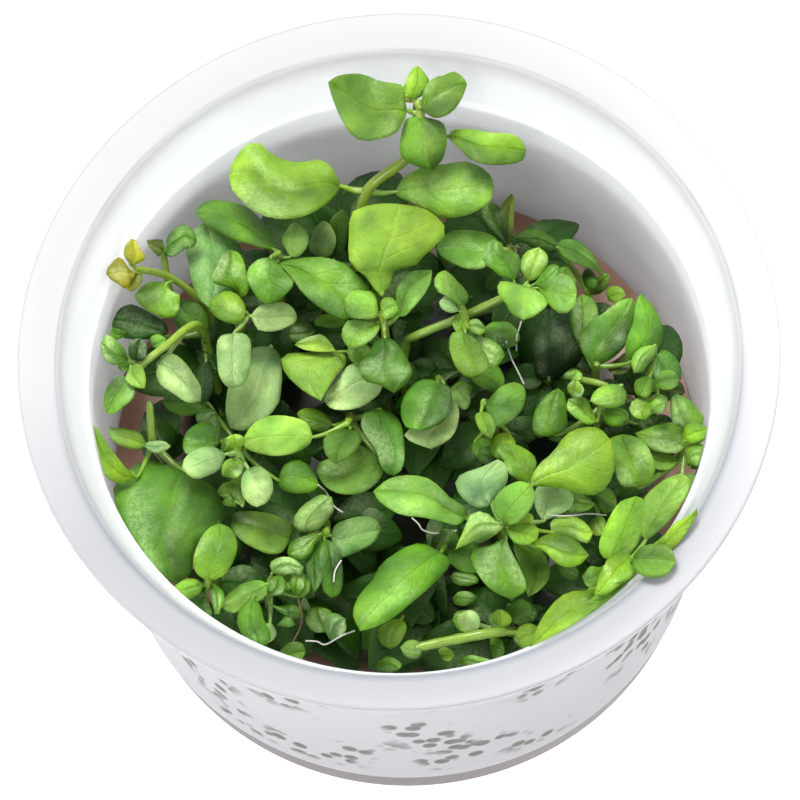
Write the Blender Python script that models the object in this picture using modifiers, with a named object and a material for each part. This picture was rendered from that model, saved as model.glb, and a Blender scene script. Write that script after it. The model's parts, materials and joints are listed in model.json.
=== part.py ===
# Hygrophila grown from cuttings on gel in an open culture cup.
# Lengths below are millimetres, turned into metres as each piece is made.

import math

import bmesh
import bpy
from mathutils import Vector
from mathutils.bvhtree import BVHTree

MM = 0.001
GAP = 0.3

# Cup: a thin tapered wall on a flat floor, with a wide flange round the mouth
RIM_R = 50.0
RIM_H = 61.2
MOUTH_R = 44.75
MOUTH_H = 59.5
STEP_R = 43.0
STEP_H = 51.4
WALL_TOP_R = 42.3
BASE_R = 40.9
WALL = 0.8
FLANGE = 1.0
FLOOR = 1.2
CORNER = 1.5
ROUND_STEPS = 28
GEL_STEPS = 15

# Label sleeve round the outside, gel inside
LABEL_LOW = 7.6
LABEL_HIGH = 45.7
LABEL_THICK = 0.35
GEL_TOP = 24.0
GEL_EDGE = 25.6
ROOT_DEPTH = 8.0

# The leaves were laid out on a sheet at canopy height as seen from EYE.
# One that sits higher or lower moves along its own line of sight.
EYE = Vector((-0.2, -200.2, 501.9))
CANOPY = 45.0

LEAF_THICK = 0.5
PETIOLE = 0.45
STEM_BOW = 0.05
TIP = 0.35
SETTLE_STEP = 0.5
SETTLE_MOST = 22

# Outline of a blade by form: powers of the distance from its base and tip
FORMS = {"oval": (0.5, 0.5), "round": (0.38, 0.38), "spoon": (0.8, 0.32), "lance": (0.5, 0.8)}

# Each shoot: name, stem radius, foot on the gel, stem points up to its tip
# (sheet x, sheet y, height), then its leaves. A leaf: base x, y, tip x, y on
# the sheet, base and tip height, width, form, roll about its length in
# degrees, arch.
SHOOTS = [
    ("far", 0.85, (-6.5, 22), [(-2.6, 31.1, 50), (3.6, 36.3, 54), (5.6, 42.6, 57.5), (5.2, 44.8, 58.5)], [
        (4.6, 44.6, -6.2, 45.3, 58.4, 59.2, 10.3, "round", 0, 1.0),
        (5.8, 44.9, 12.2, 46.0, 58.6, 59.6, 7.0, "round", 0, 0.6),
        (5.6, 42.0, 6.1, 34.0, 57.6, 55.0, 6.5, "oval", 0, 1.0),
        (9.1, 38.9, 19.8, 35.9, 54.5, 54.0, 5.2, "oval", 0, 0.5),
        (2.2, 31.8, 15.0, 31.2, 50.5, 51.5, 8.5, "oval", 0, 0.8),
        (-5.8, 32.0, -21.5, 35.4, 50.5, 54.0, 11.0, "spoon", 0, 1.0),
        (5.2, 45.2, 5.7, 49.6, 58.8, 60.4, 4.0, "oval", 0, 0.3),
    ]),
    ("back", 0.8, (-4, 13), [(-2.5, 15.5, 45), (-1.8, 17.5, 50)], [
        (-2.0, 16.5, 2.5, 28.5, 50.5, 54.5, 11.8, "round", 0, 1.0),
    ]),
    ("left_back", 0.8, (-16, 17), [(-15.5, 20.0, 44), (-15.3, 22.8, 49)], [
        (-15.6, 22.9, -26.1, 30.4, 48.5, 50.0, 5.4, "oval", -20, 0.5),
        (-15.6, 22.4, -16.5, 15.0, 50.0, 49.0, 6.4, "round", 0, 1.2),
        (-14.6, 22.4, -5.8, 13.5, 48.0, 47.5, 6.9, "oval", 0, 0.8),
        (-14.6, 23.4, -12.2, 28.0, 48.5, 50.5, 2.8, "oval", 0, 0.3),
    ]),
    ("back_row", 0.7, (-9, 17), [(-9, 20, 40), (-8.6, 21.0, 43)], [
        (-9.0, 21.3, -9.0, 28.0, 42.0, 46.0, 3.6, "oval", 0, 0.4),
        (-7.8, 21.0, -6.0, 28.5, 41.5, 44.5, 3.2, "oval", 0, 0.4),
        (-10.0, 21.0, -12.0, 26.0, 41.0, 43.0, 3.0, "oval", 0, 0.4),
    ]),
    ("left_wall", 0.8, (-22, 10), [(-21.0, 12.0, 40), (-20.0, 13.6, 47)], [
        (-20.6, 15.4, -21.6, 24.2, 46.5, 50.0, 4.7, "oval", 0, 0.8),
        (-24.6, 15.2, -24.0, 27.5, 45.0, 47.5, 7.6, "round", 0, 0.6),
        (-20.2, 13.8, -25.4, 15.9, 48.0, 48.5, 4.6, "round", 0, 0.8),
        (-19.6, 13.2, -13.1, 13.1, 48.0, 47.5, 4.2, "oval", 0, 0.8),
        (-21.8, 12.1, -22.3, 3.0, 50.0, 49.5, 4.8, "round", 0, 1.0),
    ]),
    ("yellow", 0.6, (-26, 11), [(-25.5, 15.0, 42), (-30.0, 20.0, 48), (-34.8, 22.0, 53)], [
        (-34.6, 22.4, -35.3, 26.8, 53, 54.5, 2.9, "oval", 0, 0.3),
        (-34.8, 22.0, -38.6, 21.4, 53, 53.5, 3.2, "oval", 0, 0.4),
        (-30.4, 19.6, -32.0, 13.6, 48.8, 48.0, 6.0, "round", 0, 0.7),
    ]),
    ("olive", 0.6, (-28.5, 13), [(-30.6, 19.0, 44), (-31.2, 25.4, 49)], [
        (-31.0, 25.5, -26.3, 26.2, 49, 49.5, 4.4, "oval", 0, 0.4),
    ]),
    ("left", 0.65, (-25, 8), [(-27.0, 12.8, 46), (-31.5, 9.9, 50), (-36.2, 6.4, 51.5)], [
        (-32.0, 8.0, -27.0, 1.3, 49.0, 48.5, 4.3, "oval", 0, 0.7),
        (-32.2, 12.4, -38.0, 14.6, 45.0, 46.5, 5.4, "round", 0, 0.6),
        (-36.4, 8.0, -40.0, 11.3, 51.5, 52.5, 3.4, "oval", 0, 0.5),
        (-36.0, 7.4, -35.2, 11.4, 51.8, 53.2, 2.8, "oval", 0, 0.4),
        (-36.5, 5.4, -39.8, 0.8, 51.0, 50.0, 4.0, "oval", 0, 0.5),
    ]),
    ("left_low", 0.65, (-32, -1), [(-33.7, -4.0, 44), (-33.9, 2.0, 47)], [
        (-28.8, -9.8, -29.0, -24.2, 43.5, 46.0, 12.8, "round", 0, 1.4),
        (-36.0, -9.0, -41.0, -1.4, 46.0, 50.5, 3.8, "lance", 20, 0.8),
        (-34.6, -4.2, -39.3, -1.4, 46.0, 48.0, 2.7, "oval", 0, 0.4),
    ]),
    ("left_dark", 0.7, (-20, 3), [(-18.5, 5.0, 38), (-17.5, 6.5, 42)], [
        (-16.8, 8.6, -23.3, -2.6, 42.5, 43.0, 8.2, "round", 0, 0.8),
        (-19.0, 5.0, -25.8, 7.0, 37.0, 38.0, 3.0, "oval", 0, 0.4),
    ]),
    ("left_mid", 0.65, (-21, -5), [(-22.0, -5.6, 40), (-22.6, -6.4, 47)], [
        (-23.8, -6.6, -29.8, -8.4, 48.5, 49.0, 4.6, "oval", 0, 0.8),
        (-24.6, -4.4, -29.6, -4.0, 45.5, 46.0, 4.6, "round", 0, 0.6),
        (-22.0, -6.8, -20.5, -14.2, 46.5, 48.0, 4.3, "oval", 0, 0.6),
        (-17.4, -10.8, -11.6, -12.6, 43.5, 43.5, 4.9, "oval", 0, 0.8),
    ]),
    ("left_front", 0.65, (-26, -19), [(-27.0, -24.0, 42), (-27.3, -25.0, 49)], [
        (-26.9, -24.4, -25.2, -16.2, 50.5, 52.5, 5.9, "oval", 0, 0.9),
        (-24.6, -16.3, -15.6, -19.2, 39.0, 40.0, 6.0, "oval", 0, 1.2),
        (-28.0, -25.0, -31.0, -25.0, 48.0, 48.5, 2.7, "oval", 0, 0.3),
        (-27.4, -25.8, -26.6, -29.0, 47.0, 45.5, 3.2, "oval", 0, 0.4),
    ]),
    ("front_left", 0.7, (-18, -22), [(-18.8, -25.0, 40), (-19.3, -26.4, 45)], [
        (-20.0, -25.6, -25.5, -27.7, 45.5, 46.0, 3.8, "oval", 0, 0.4),
        (-21.4, -27.4, -21.7, -34.0, 46.5, 46.0, 4.1, "round", 0, 0.6),
        (-19.0, -28.3, -14.8, -29.6, 44.0, 43.5, 4.5, "round", 0, 0.5),
        (-18.4, -25.4, -14.0, -22.6, 45.5, 47.0, 2.6, "oval", 0, 0.6),
    ]),
    ("front_mid", 0.75, (-11, -14), [(-11.2, -17.6, 38), (-11.2, -19.2, 42)], [
        (-13.2, -18.2, -9.8, -14.3, 41.0, 43.0, 4.8, "round", 0, 0.6),
        (-10.5, -19.5, -3.7, -18.7, 42.0, 43.0, 4.6, "oval", 0, 0.7),
        (-11.6, -20.0, -11.1, -28.0, 43.0, 42.0, 3.4, "round", 0, 0.7),
        (-13.0, -20.2, -13.9, -28.0, 41.0, 40.0, 2.9, "round", 0, 0.5),
        (-12.0, -19.2, -16.6, -23.0, 44.0, 44.0, 3.2, "oval", 0, 0.5),
    ]),
    ("middle", 0.7, (-2, 6), [(-1.5, 8.6, 44), (-1.7, 12.4, 49)], [
        (-1.6, 8.6, -1.2, 0.4, 48.0, 48.0, 7.7, "round", 0, 0.8),
        (-2.3, 11.0, -7.7, 8.7, 47.5, 47.0, 4.2, "oval", 0, 0.6),
        (0.6, 11.8, 5.6, 18.6, 47.0, 49.5, 4.3, "oval", 0, 0.6),
        (-2.4, 4.6, -9.8, -0.2, 43.0, 43.5, 7.4, "round", 0, 0.9),
        (-9.8, 8.6, -12.9, 3.0, 43.0, 46.0, 7.4, "round", 0, 0.7),
        (-2.4, 13.2, -7.1, 14.3, 49.0, 50.0, 4.5, "round", 0, 0.6),
    ]),
    ("crossing", 0.7, (1.6, 4), [(1.2, 7.6, 42), (2.8, 8.8, 45), (9.0, 11.0, 47), (14.0, 13.1, 49), (18.4, 14.8, 52)], [
        (20.0, 14.2, 24.3, 11.3, 51.5, 53.0, 5.4, "round", 0, 0.4),
        (18.2, 14.8, 16.8, 10.2, 52.6, 53.0, 6.6, "round", 0, 0.6),
        (17.8, 14.9, 19.4, 20.4, 51.5, 53.5, 3.2, "oval", 0, 0.4),
        (18.9, 15.0, 22.4, 19.0, 51.5, 53.0, 3.0, "oval", 0, 0.3),
        (16.6, 15.9, 13.3, 21.8, 51.0, 52.0, 3.9, "oval", 0, 0.5),
    ]),
    ("kidney", 0.7, (9, 5), [(9.8, 8.4, 46), (8.9, 13.2, 51)], [
        (9.2, 8.6, 10.2, 1.8, 50.0, 50.0, 5.5, "round", 0, 0.5),
        (10.2, 8.2, 14.6, 4.0, 49.0, 49.5, 4.6, "spoon", 0, 0.5),
        (8.9, 13.2, 6.4, 18.6, 51.5, 53.0, 3.6, "oval", 0, 0.3),
    ]),
    ("right_back", 0.75, (18, 16), [(16.6, 19.4, 40), (15.6, 20.6, 44)], [
        (13.8, 21.2, 7.0, 20.4, 45.0, 46.5, 5.6, "round", 0, 0.6),
        (16.5, 20.8, 17.4, 29.2, 43.5, 48.0, 3.6, "oval", 0, 0.3),
        (16.0, 20.8, 14.2, 28.0, 42.0, 44.0, 3.0, "oval", 0, 0.3),
        (17.0, 20.8, 25.0, 20.6, 42.0, 41.6, 3.6, "oval", 0, 0.4),
    ]),
    ("right_thin", 0.6, (25, 9), [(26.5, 13.0, 38), (24.2, 18.0, 42.5)], [
        (24.2, 19.8, 28.5, 15.5, 44.2, 43.2, 3.2, "oval", 0, 0.5),
    ]),
    ("right_dark", 0.75, (19, 2), [(19.5, 1.0, 34), (20.0, 0.8, 36)], [
        (20.0, 0.8, 20.8, 11.3, 37.5, 40.0, 9.6, "round", 0, 1.4),
    ]),
    ("right", 0.75, (27, 0), [(26.4, 1.0, 38), (26.6, 2.6, 44)], [
        (26.2, 3.6, 32.3, 12.2, 44.5, 46.5, 6.6, "oval", 0, 0.9),
        (29.6, 3.0, 33.8, 12.8, 44.0, 47.0, 5.3, "oval", 0, 0.9),
        (25.4, 4.5, 25.7, 13.2, 41.0, 43.0, 3.8, "oval", 0, 0.5),
    ]),
    ("right_wall", 0.65, (31, -1), [(33.4, 0.0, 42), (34.4, 1.8, 46)], [
        (34.8, 2.8, 37.6, -0.6, 47.0, 47.5, 4.7, "round", 0, 0.5),
        (34.4, 4.6, 31.5, 0.7, 48.0, 48.0, 3.6, "oval", 0, 0.4),
        (34.4, -2.6, 31.2, -5.6, 46.0, 46.5, 3.7, "round", 0, 0.4),
    ]),
    ("right_rim", 0.65, (32, -8), [(36.5, -12.0, 42), (38.0, -9.2, 47)], [
        (38.0, -8.0, 36.6, -2.6, 48.0, 49.0, 5.0, "round", 0, 0.5),
        (37.4, -10.4, 31.0, -8.0, 45.5, 45.0, 4.5, "oval", 0, 0.6),
        (31.0, -15.6, 28.8, -8.2, 46.0, 48.0, 6.3, "round", 0, 1.0),
    ]),
    ("right_small", 0.55, (25, -4), [(26.4, -4.0, 42), (27.8, -1.0, 47), (23.4, 0.8, 49)], [
        (29.6, -1.0, 25.8, -2.9, 48.5, 48.5, 3.4, "round", 0, 0.4),
        (26.0, -5.4, 22.7, -2.6, 46.0, 46.5, 4.0, "oval", 0, 0.5),
        (20.4, -7.2, 21.3, -0.6, 43.5, 45.5, 5.4, "round", 0, 0.8),
    ]),
    ("centre", 0.75, (5, -3), [(5.2, 0.5, 40), (5.2, 2.2, 43)], [
        (4.4, 1.8, 2.3, -5.2, 46.5, 47.5, 6.6, "round", 0, 0.4),
        (6.6, 0.0, 3.8, -8.0, 45.0, 45.5, 7.2, "round", 0, 0.4),
    ]),
    ("centre_left", 0.7, (-7, -1), [(-7.0, -2.4, 38), (-7.4, -3.4, 43)], [
        (-2.6, -1.6, -1.5, -11.6, 41.5, 43.5, 5.9, "round", 0, 0.8),
        (-12.4, -5.2, -21.8, -5.5, 43.6, 44.2, 6.0, "oval", 0, 0.9),
        (-7.3, -5.0, -9.3, -9.6, 43.0, 44.5, 4.9, "round", 0, 0.8),
        (-3.0, -9.0, -12.2, -12.4, 40.0, 40.5, 6.2, "round", 0, 0.9),
    ]),
    ("right_mid", 0.65, (13, -5), [(12.0, -3.0, 42), (11.0, -1.6, 46)], [
        (11.2, -1.8, 17.0, -0.6, 46.5, 46.5, 5.6, "round", 0, 0.8),
        (10.8, -2.4, 12.3, -6.1, 47.0, 47.0, 2.7, "oval", 0, 0.4),
    ]),
    ("front_star", 0.8, (12, -17), [(12.2, -18.6, 42), (12.0, -19.4, 51)], [
        (11.6, -18.0, 10.4, -10.4, 51.5, 53.0, 6.9, "round", 0, 0.4),
        (12.4, -19.0, 16.6, -14.8, 52.0, 53.5, 5.2, "round", 0, 0.8),
        (7.4, -18.4, -4.6, -13.7, 47.5, 48.5, 6.1, "oval", 0, 0.8),
        (12.4, -21.0, 12.6, -30.4, 50.0, 49.0, 7.6, "round", 0, 0.8),
        (15.6, -22.8, 23.4, -24.2, 47.4, 48.4, 5.0, "round", 0, 0.5),
        (16.5, -14.6, 27.8, -9.6, 51.0, 52.5, 9.0, "oval", 0, 1.0),
        (17.6, -19.6, 20.6, -15.0, 46.0, 46.5, 5.6, "round", 0, 0.6),
        (12.2, -19.6, 6.2, -22.8, 51.5, 52.5, 4.2, "oval", 0, 0.3),
        (12.6, -20.0, 16.0, -22.8, 51.0, 51.5, 3.0, "oval", 0, 0.3),
    ]),
    ("front", 0.75, (0, -27), [(3.6, -22.6, 40), (4.2, -22.0, 43)], [
        (3.8, -23.2, -8.2, -32.6, 45.5, 47.5, 7.2, "lance", 0, 1.0),
        (4.4, -22.2, 9.2, -25.6, 42.0, 42.0, 4.2, "oval", 0, 0.5),
        (0.4, -28.6, -2.8, -36.0, 40.5, 41.0, 3.6, "oval", 0, 0.4),
    ]),
    ("front_low", 0.8, (14, -28), [(10.7, -34.6, 43), (5.0, -35.2, 44), (-0.6, -36.0, 44.5)], [
    ]),
    ("rim_shoot", 0.85, (24, -22), [(27.0, -26.0, 44), (28.2, -26.2, 53), (28.8, -26.0, 57.5)], [
        (25.6, -25.6, 30.4, -17.3, 55.0, 57.0, 5.5, "oval", 0, 0.8),
        (31.0, -23.4, 36.6, -14.6, 55.5, 57.5, 5.8, "oval", 0, 0.8),
        (30.6, -24.8, 36.2, -20.4, 57.0, 59.0, 3.4, "lance", 0, 0.6),
        (26.2, -27.0, 15.8, -33.8, 52.5, 54.0, 6.0, "oval", 0, 0.8),
        (29.4, -26.0, 34.0, -25.8, 59.6, 61.6, 3.6, "round", 0, 0.3),
        (28.4, -26.0, 25.4, -28.6, 57.0, 58.0, 3.8, "oval", 0, 0.4),
        (28.0, -26.4, 22.5, -26.8, 56.0, 56.5, 2.3, "oval", 0, 0.3),
    ]),
]

# Leaves at least this large, length times width in square millimetres, are
# pieces of their own; smaller ones are fused to the stem they grow from
OWN_AREA = 55.0
LARGE_SEGMENTS = 4
MIDDLE_AREA = 34.0
MIDDLE_SEGMENTS = 3
SMALL_SEGMENTS = 2

LETTERS = "abcdefghijk"

COLOURS = {
    "cup": ((0.80, 0.82, 0.85, 1.0), 0.35),
    "label": ((0.76, 0.77, 0.77, 1.0), 0.55),
    "gel": ((0.55, 0.26, 0.16, 1.0), 0.25),
    "leaf": ((0.16, 0.36, 0.04, 1.0), 0.40),
    "stem": ((0.30, 0.45, 0.05, 1.0), 0.45),
}


def material(kind):
    found = bpy.data.materials.get(kind)
    if found:
        return found
    colour, roughness = COLOURS[kind]
    made = bpy.data.materials.new(kind)
    made.use_nodes = True
    shader = made.node_tree.nodes["Principled BSDF"]
    shader.inputs["Base Color"].default_value = colour
    shader.inputs["Roughness"].default_value = roughness
    made.diffuse_color = colour
    return made


def collection(name):
    made = bpy.data.collections.new(name)
    bpy.context.scene.collection.children.link(made)
    return made


def mesh_object(name, mesh, kind, parts):
    made = bpy.data.objects.new(name, mesh)
    parts.objects.link(made)
    mesh.materials.clear()
    mesh.materials.append(material(kind))
    return made


def evaluated_mesh(obj):
    graph = bpy.context.evaluated_depsgraph_get()
    graph.update()
    return bpy.data.meshes.new_from_object(obj.evaluated_get(graph))


def along_sight(x, y, z):
    # The point at height z seen through sheet point x, y
    reach = (EYE.z - z) / (EYE.z - CANOPY)
    return EYE + (Vector((x, y, CANOPY)) - EYE) * reach


def sink(point, drop):
    # Lower a point by drop along its own line of sight
    away = point - EYE
    return EYE + away * ((EYE.z - point.z + drop) / (EYE.z - point.z))


def turned(name, profile, kind, parts, steps=ROUND_STEPS, ring=False):
    # A ring's profile closes on itself; any other starts and ends on the axis
    mesh = bpy.data.meshes.new(name)
    points = [(x * MM, 0.0, z * MM) for x, z in profile]
    edges = [(i, i + 1) for i in range(len(points) - 1)]
    if ring:
        edges.append((len(points) - 1, 0))
    mesh.from_pydata(points, edges, [])
    made = mesh_object(name, mesh, kind, parts)
    screw = made.modifiers.new("turn", "SCREW")
    screw.steps = steps
    screw.render_steps = steps
    screw.use_merge_vertices = True
    screw.merge_threshold = 0.00001
    return made


def wall_radius(z):
    # Outside of the wall between the base and the step
    share = (z - CORNER) / (STEP_H - CORNER)
    return BASE_R + (WALL_TOP_R - BASE_R) * share


def make_cup(parts):
    profile = [
        (0.0, FLOOR),
        (wall_radius(FLOOR) - WALL - CORNER, FLOOR),
        (wall_radius(FLOOR + CORNER) - WALL, FLOOR + CORNER),
        (WALL_TOP_R - WALL, STEP_H - 0.4),
        (STEP_R - WALL, STEP_H),
        (MOUTH_R, MOUTH_H),
        (RIM_R, RIM_H),
        (RIM_R, RIM_H - FLANGE),
        (MOUTH_R + WALL, MOUTH_H - FLANGE),
        (STEP_R, STEP_H - 0.4),
        (WALL_TOP_R, STEP_H - 0.8),
        (BASE_R, CORNER),
        (BASE_R - 0.4 * CORNER, 0.4 * CORNER),
        (BASE_R - CORNER, 0.0),
        (0.0, 0.0),
    ]
    return turned("cup", profile, "cup", parts)


def make_label(parts):
    inner_low = wall_radius(LABEL_LOW) + GAP
    inner_high = wall_radius(LABEL_HIGH) + GAP
    profile = [
        (inner_high, LABEL_HIGH),
        (inner_high + LABEL_THICK, LABEL_HIGH),
        (inner_low + LABEL_THICK, LABEL_LOW),
        (inner_low, LABEL_LOW),
    ]
    return turned("label", profile, "label", parts, ring=True)


def make_gel(parts, sleeves):
    side_low = wall_radius(FLOOR + CORNER) - WALL - GAP
    side_high = wall_radius(GEL_EDGE) - WALL - GAP
    profile = [
        (0.0, GEL_TOP),
        (side_high - 2.4, GEL_TOP),
        (side_high, GEL_EDGE),
        (side_low, FLOOR + CORNER + GAP),
        (side_low - CORNER, FLOOR + GAP),
        (0.0, FLOOR + GAP),
    ]
    gel = turned("gel", profile, "gel", parts, GEL_STEPS)
    for sleeve in sleeves:
        apply_boolean(gel, sleeve, "DIFFERENCE")
    return gel


def apply_boolean(target, tool, operation):
    cut = target.modifiers.new("cut", "BOOLEAN")
    cut.operation = operation
    cut.solver = "MANIFOLD"
    cut.object = tool
    result = evaluated_mesh(target)
    target.modifiers.clear()
    old = target.data
    target.data = result
    bpy.data.meshes.remove(old)


def body_size(body):
    return len(body)


def body_depth(body):
    return -min(vert.co.z for vert in body)


def keep_body(obj, rank):
    # A leaf notched by a stem may lose a sliver; only the main body stays
    shape = bmesh.new()
    shape.from_mesh(obj.data)
    left = set(shape.verts)
    bodies = []
    while left:
        body = [left.pop()]
        for vert in body:
            near = [edge.other_vert(vert) for edge in vert.link_edges]
            fresh = [other for other in near if other in left]
            left.difference_update(fresh)
            body.extend(fresh)
        bodies.append(body)
    bodies.sort(key=rank)
    for body in bodies[:-1]:
        bmesh.ops.delete(shape, geom=body, context="VERTS")
    shape.to_mesh(obj.data)
    shape.free()


def stem_path(foot, seen):
    deep = Vector((foot[0], foot[1], GEL_TOP - ROOT_DEPTH))
    surface = Vector((foot[0], foot[1], GEL_TOP + 1.0))
    rise = [along_sight(*point) for point in seen]
    middle = surface.lerp(rise[0], 0.6) + (rise[0] - rise[-1]) * STEM_BOW
    return [deep, surface, middle] + rise


def tube(name, path, radius, kind, parts):
    curve = bpy.data.curves.new(name, "CURVE")
    curve.dimensions = "3D"
    curve.bevel_depth = radius * MM
    curve.bevel_resolution = 1
    curve.use_fill_caps = True
    spline = curve.splines.new("POLY")
    spline.points.add(len(path) - 1)
    for point, place in zip(spline.points, path):
        point.co = (*(place * MM), 1.0)
    draft = bpy.data.objects.new(name + "_curve", curve)
    parts.objects.link(draft)
    mesh = evaluated_mesh(draft)
    bpy.data.objects.remove(draft)
    shape = bmesh.new()
    shape.from_mesh(mesh)
    bmesh.ops.remove_doubles(shape, verts=shape.verts, dist=0.00001)
    bmesh.ops.recalc_face_normals(shape, faces=shape.faces)
    if shape.calc_volume(signed=True) < 0:
        bmesh.ops.reverse_faces(shape, faces=shape.faces)
    shape.to_mesh(mesh)
    shape.free()
    mesh.name = name
    return mesh_object(name, mesh, kind, parts)


def leaf_area(leaf):
    x0, y0, x1, y1 = leaf[:4]
    return math.hypot(x1 - x0, y1 - y0) * leaf[6]


def leaf_rows(leaf, path, drop, segments):
    # Rows of three points, left edge, midrib, right edge, from the stem to
    # the tip; the first row is the leaf stalk's end inside the stem
    x0, y0, x1, y1, z0, z1, width, form, roll, arch = leaf
    base = sink(along_sight(x0, y0, z0), drop)
    tip = sink(along_sight(x1, y1, z1), drop)
    axis = (tip - base).normalized()
    side = axis.cross(Vector((0, 0, 1))).normalized()
    normal = side.cross(axis)
    turn = math.radians(roll)
    side, normal = (side * math.cos(turn) + normal * math.sin(turn),
                    normal * math.cos(turn) - side * math.sin(turn))
    joint = nearest_on_path(path, base)
    rows = [(joint, PETIOLE)]
    a, b = FORMS[form]
    peak = a / (a + b)
    most = peak ** a * (1 - peak) ** b
    for k in range(segments + 1):
        t = 0.5 - 0.5 * math.cos(math.pi * k / segments)
        half = width / 2 * t ** a * (1 - t) ** b / most
        floor = PETIOLE + (TIP - PETIOLE) * t
        centre = base.lerp(tip, t) + normal * (arch * 4 * t * (1 - t))
        rows.append((centre, max(half, floor)))
    if leaf_area(leaf) < OWN_AREA:
        return [[centre - side * half, centre + side * half] for centre, half in rows]
    return [[centre - side * half, centre, centre + side * half] for centre, half in rows]


def nearest_on_path(path, place):
    # The stem's axis point beside the leaf's base, no higher than it
    best = path[0]
    for a, b in zip(path, path[1:]):
        for k in range(5):
            point = a.lerp(b, k / 4)
            if point.z <= place.z - 0.2 and (point - place).length < (best - place).length:
                best = point
    return best


def leaf_shell(rows, thick):
    # Both faces of a blade without its stalk, for testing clearance
    blade = rows[1:]
    across = len(blade[0])
    verts = []
    faces = []
    for offset in (-thick / 2, thick / 2):
        start = len(verts)
        for i, row in enumerate(blade):
            ahead = blade[min(i + 1, len(blade) - 1)][0] - blade[max(i - 1, 0)][0]
            normal = (row[-1] - row[0]).cross(ahead).normalized()
            verts.extend(point + normal * offset for point in row)
        for i in range(len(blade) - 1):
            for j in range(across - 1):
                k = start + i * across + j
                faces.append((k, k + 1, k + across + 1, k + across))
    return BVHTree.FromPolygons(verts, faces)


def widened(rows):
    # The same leaf grown by the gap on every edge, to cut its neighbours with
    grown = []
    for row in rows:
        out = (row[-1] - row[0]).normalized() * GAP
        grown.append([row[0] - out] + row[1:-1] + [row[-1] + out])
    step = (grown[-1][0] - grown[-2][0]).normalized() * GAP
    grown[-1] = [point + step for point in grown[-1]]
    return grown


def leaf_object(name, rows, thick, parts):
    shape = bmesh.new()
    across = len(rows[0]) - 1
    along = len(rows) - 1
    bmesh.ops.create_grid(shape, x_segments=across, y_segments=along, size=1.0)
    for vert in shape.verts:
        i = round((vert.co.y + 1) / 2 * along)
        j = round((vert.co.x + 1) / 2 * across)
        vert.co = rows[i][j] * MM
    mesh = bpy.data.meshes.new(name)
    shape.to_mesh(mesh)
    shape.free()
    made = mesh_object(name, mesh, "leaf", parts)
    shell = made.modifiers.new("thickness", "SOLIDIFY")
    shell.thickness = thick * MM
    shell.offset = 0.0
    return made


def segments_for(leaf):
    if leaf_area(leaf) >= OWN_AREA:
        return LARGE_SEGMENTS
    return MIDDLE_SEGMENTS if leaf_area(leaf) >= MIDDLE_AREA else SMALL_SEGMENTS


def settle(paths):
    # From the highest leaf down, each one sinks along its line of sight until
    # it lies clear of every leaf already placed, bar those it is fused with
    waiting = []
    for shoot in SHOOTS:
        for number, leaf in enumerate(shoot[4]):
            waiting.append((-max(leaf[4], leaf[5]), shoot[0], number, leaf))
    waiting.sort(key=lambda entry: entry[:3])
    placed = []
    for _, shoot, number, leaf in waiting:
        fused = leaf_area(leaf) < OWN_AREA
        for step in range(SETTLE_MOST + 1):
            rows = leaf_rows(leaf, paths[shoot], step * SETTLE_STEP, segments_for(leaf))
            shell = leaf_shell(rows, LEAF_THICK + 2 * GAP)
            near = [other for other in placed
                    if not (fused and other[3] and other[0] == shoot)]
            if not any(shell.overlap(other[2]) for other in near):
                break
        placed.append((shoot, number, leaf_shell(rows, LEAF_THICK), fused, rows))
    return placed


def tree_of(obj):
    mesh = evaluated_mesh(obj)
    verts = [vert.co.copy() for vert in mesh.vertices]
    tree = BVHTree.FromPolygons(verts, [list(face.vertices) for face in mesh.polygons])
    bpy.data.meshes.remove(mesh)
    return tree


def lengthened(path):
    # The same path, longer by the gap at both ends
    below = path[0] + (path[0] - path[1]).normalized() * GAP
    beyond = path[-1] + (path[-1] - path[-2]).normalized() * GAP
    return [below] + path[1:-1] + [beyond]


def make_plants(parts, cutters):
    paths = {}
    stems = {}
    sleeves = {}
    for name, radius, foot, seen, _ in SHOOTS:
        paths[name] = stem_path(foot, seen)
        stems[name] = tube("shoot_" + name, paths[name], radius, "stem", parts)
        sleeves[name] = tube("sleeve_" + name, lengthened(paths[name]), radius + GAP, "stem", cutters)
    sleeve_trees = {name: tree_of(sleeve) for name, sleeve in sleeves.items()}
    higher = []
    for shoot, number, _, fused, rows in settle(paths):
        name = "leaf_%s_%s" % (shoot, LETTERS[number])
        leaf = leaf_object(name, rows, LEAF_THICK, parts)
        tree = tree_of(leaf)
        for other, sleeve in sleeves.items():
            if (other != shoot or not fused) and tree.overlap(sleeve_trees[other]):
                apply_boolean(leaf, sleeve, "DIFFERENCE")
        for other, both, wide, wide_tree in higher:
            if not (other == shoot and both and fused) and tree.overlap(wide_tree):
                cutter = leaf_object("clear", wide, LEAF_THICK + 2 * GAP, cutters)
                apply_boolean(leaf, cutter, "DIFFERENCE")
                bpy.data.objects.remove(cutter)
        if not leaf.modifiers:
            keep_body(leaf, body_size)
        wide = widened(rows)
        cutter = leaf_object("clear", wide, LEAF_THICK + 2 * GAP, cutters)
        higher.append((shoot, fused, wide, tree_of(cutter)))
        bpy.data.objects.remove(cutter)
        if fused:
            apply_boolean(stems[shoot], leaf, "UNION")
            bpy.data.objects.remove(leaf)
    for cutter in cutters.objects:
        cutter.hide_render = True
        cutter.display_type = "WIRE"
    for stem in stems.values():
        keep_body(stem, body_depth)
    return sleeves.values()


def main():
    for obj in list(bpy.data.objects):
        bpy.data.objects.remove(obj)
    parts = collection("hygrophila")
    cutters = collection("cutters")
    make_cup(parts)
    make_label(parts)
    make_gel(parts, make_plants(parts, cutters))
    for obj in parts.objects:
        obj.data.shade_smooth()
        obj.data.set_sharp_from_angle(angle=math.radians(40))


main()
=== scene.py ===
import json
import math
import random

import bmesh
import bpy
from mathutils import Matrix, Vector, noise
from mathutils.bvhtree import BVHTree

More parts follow.
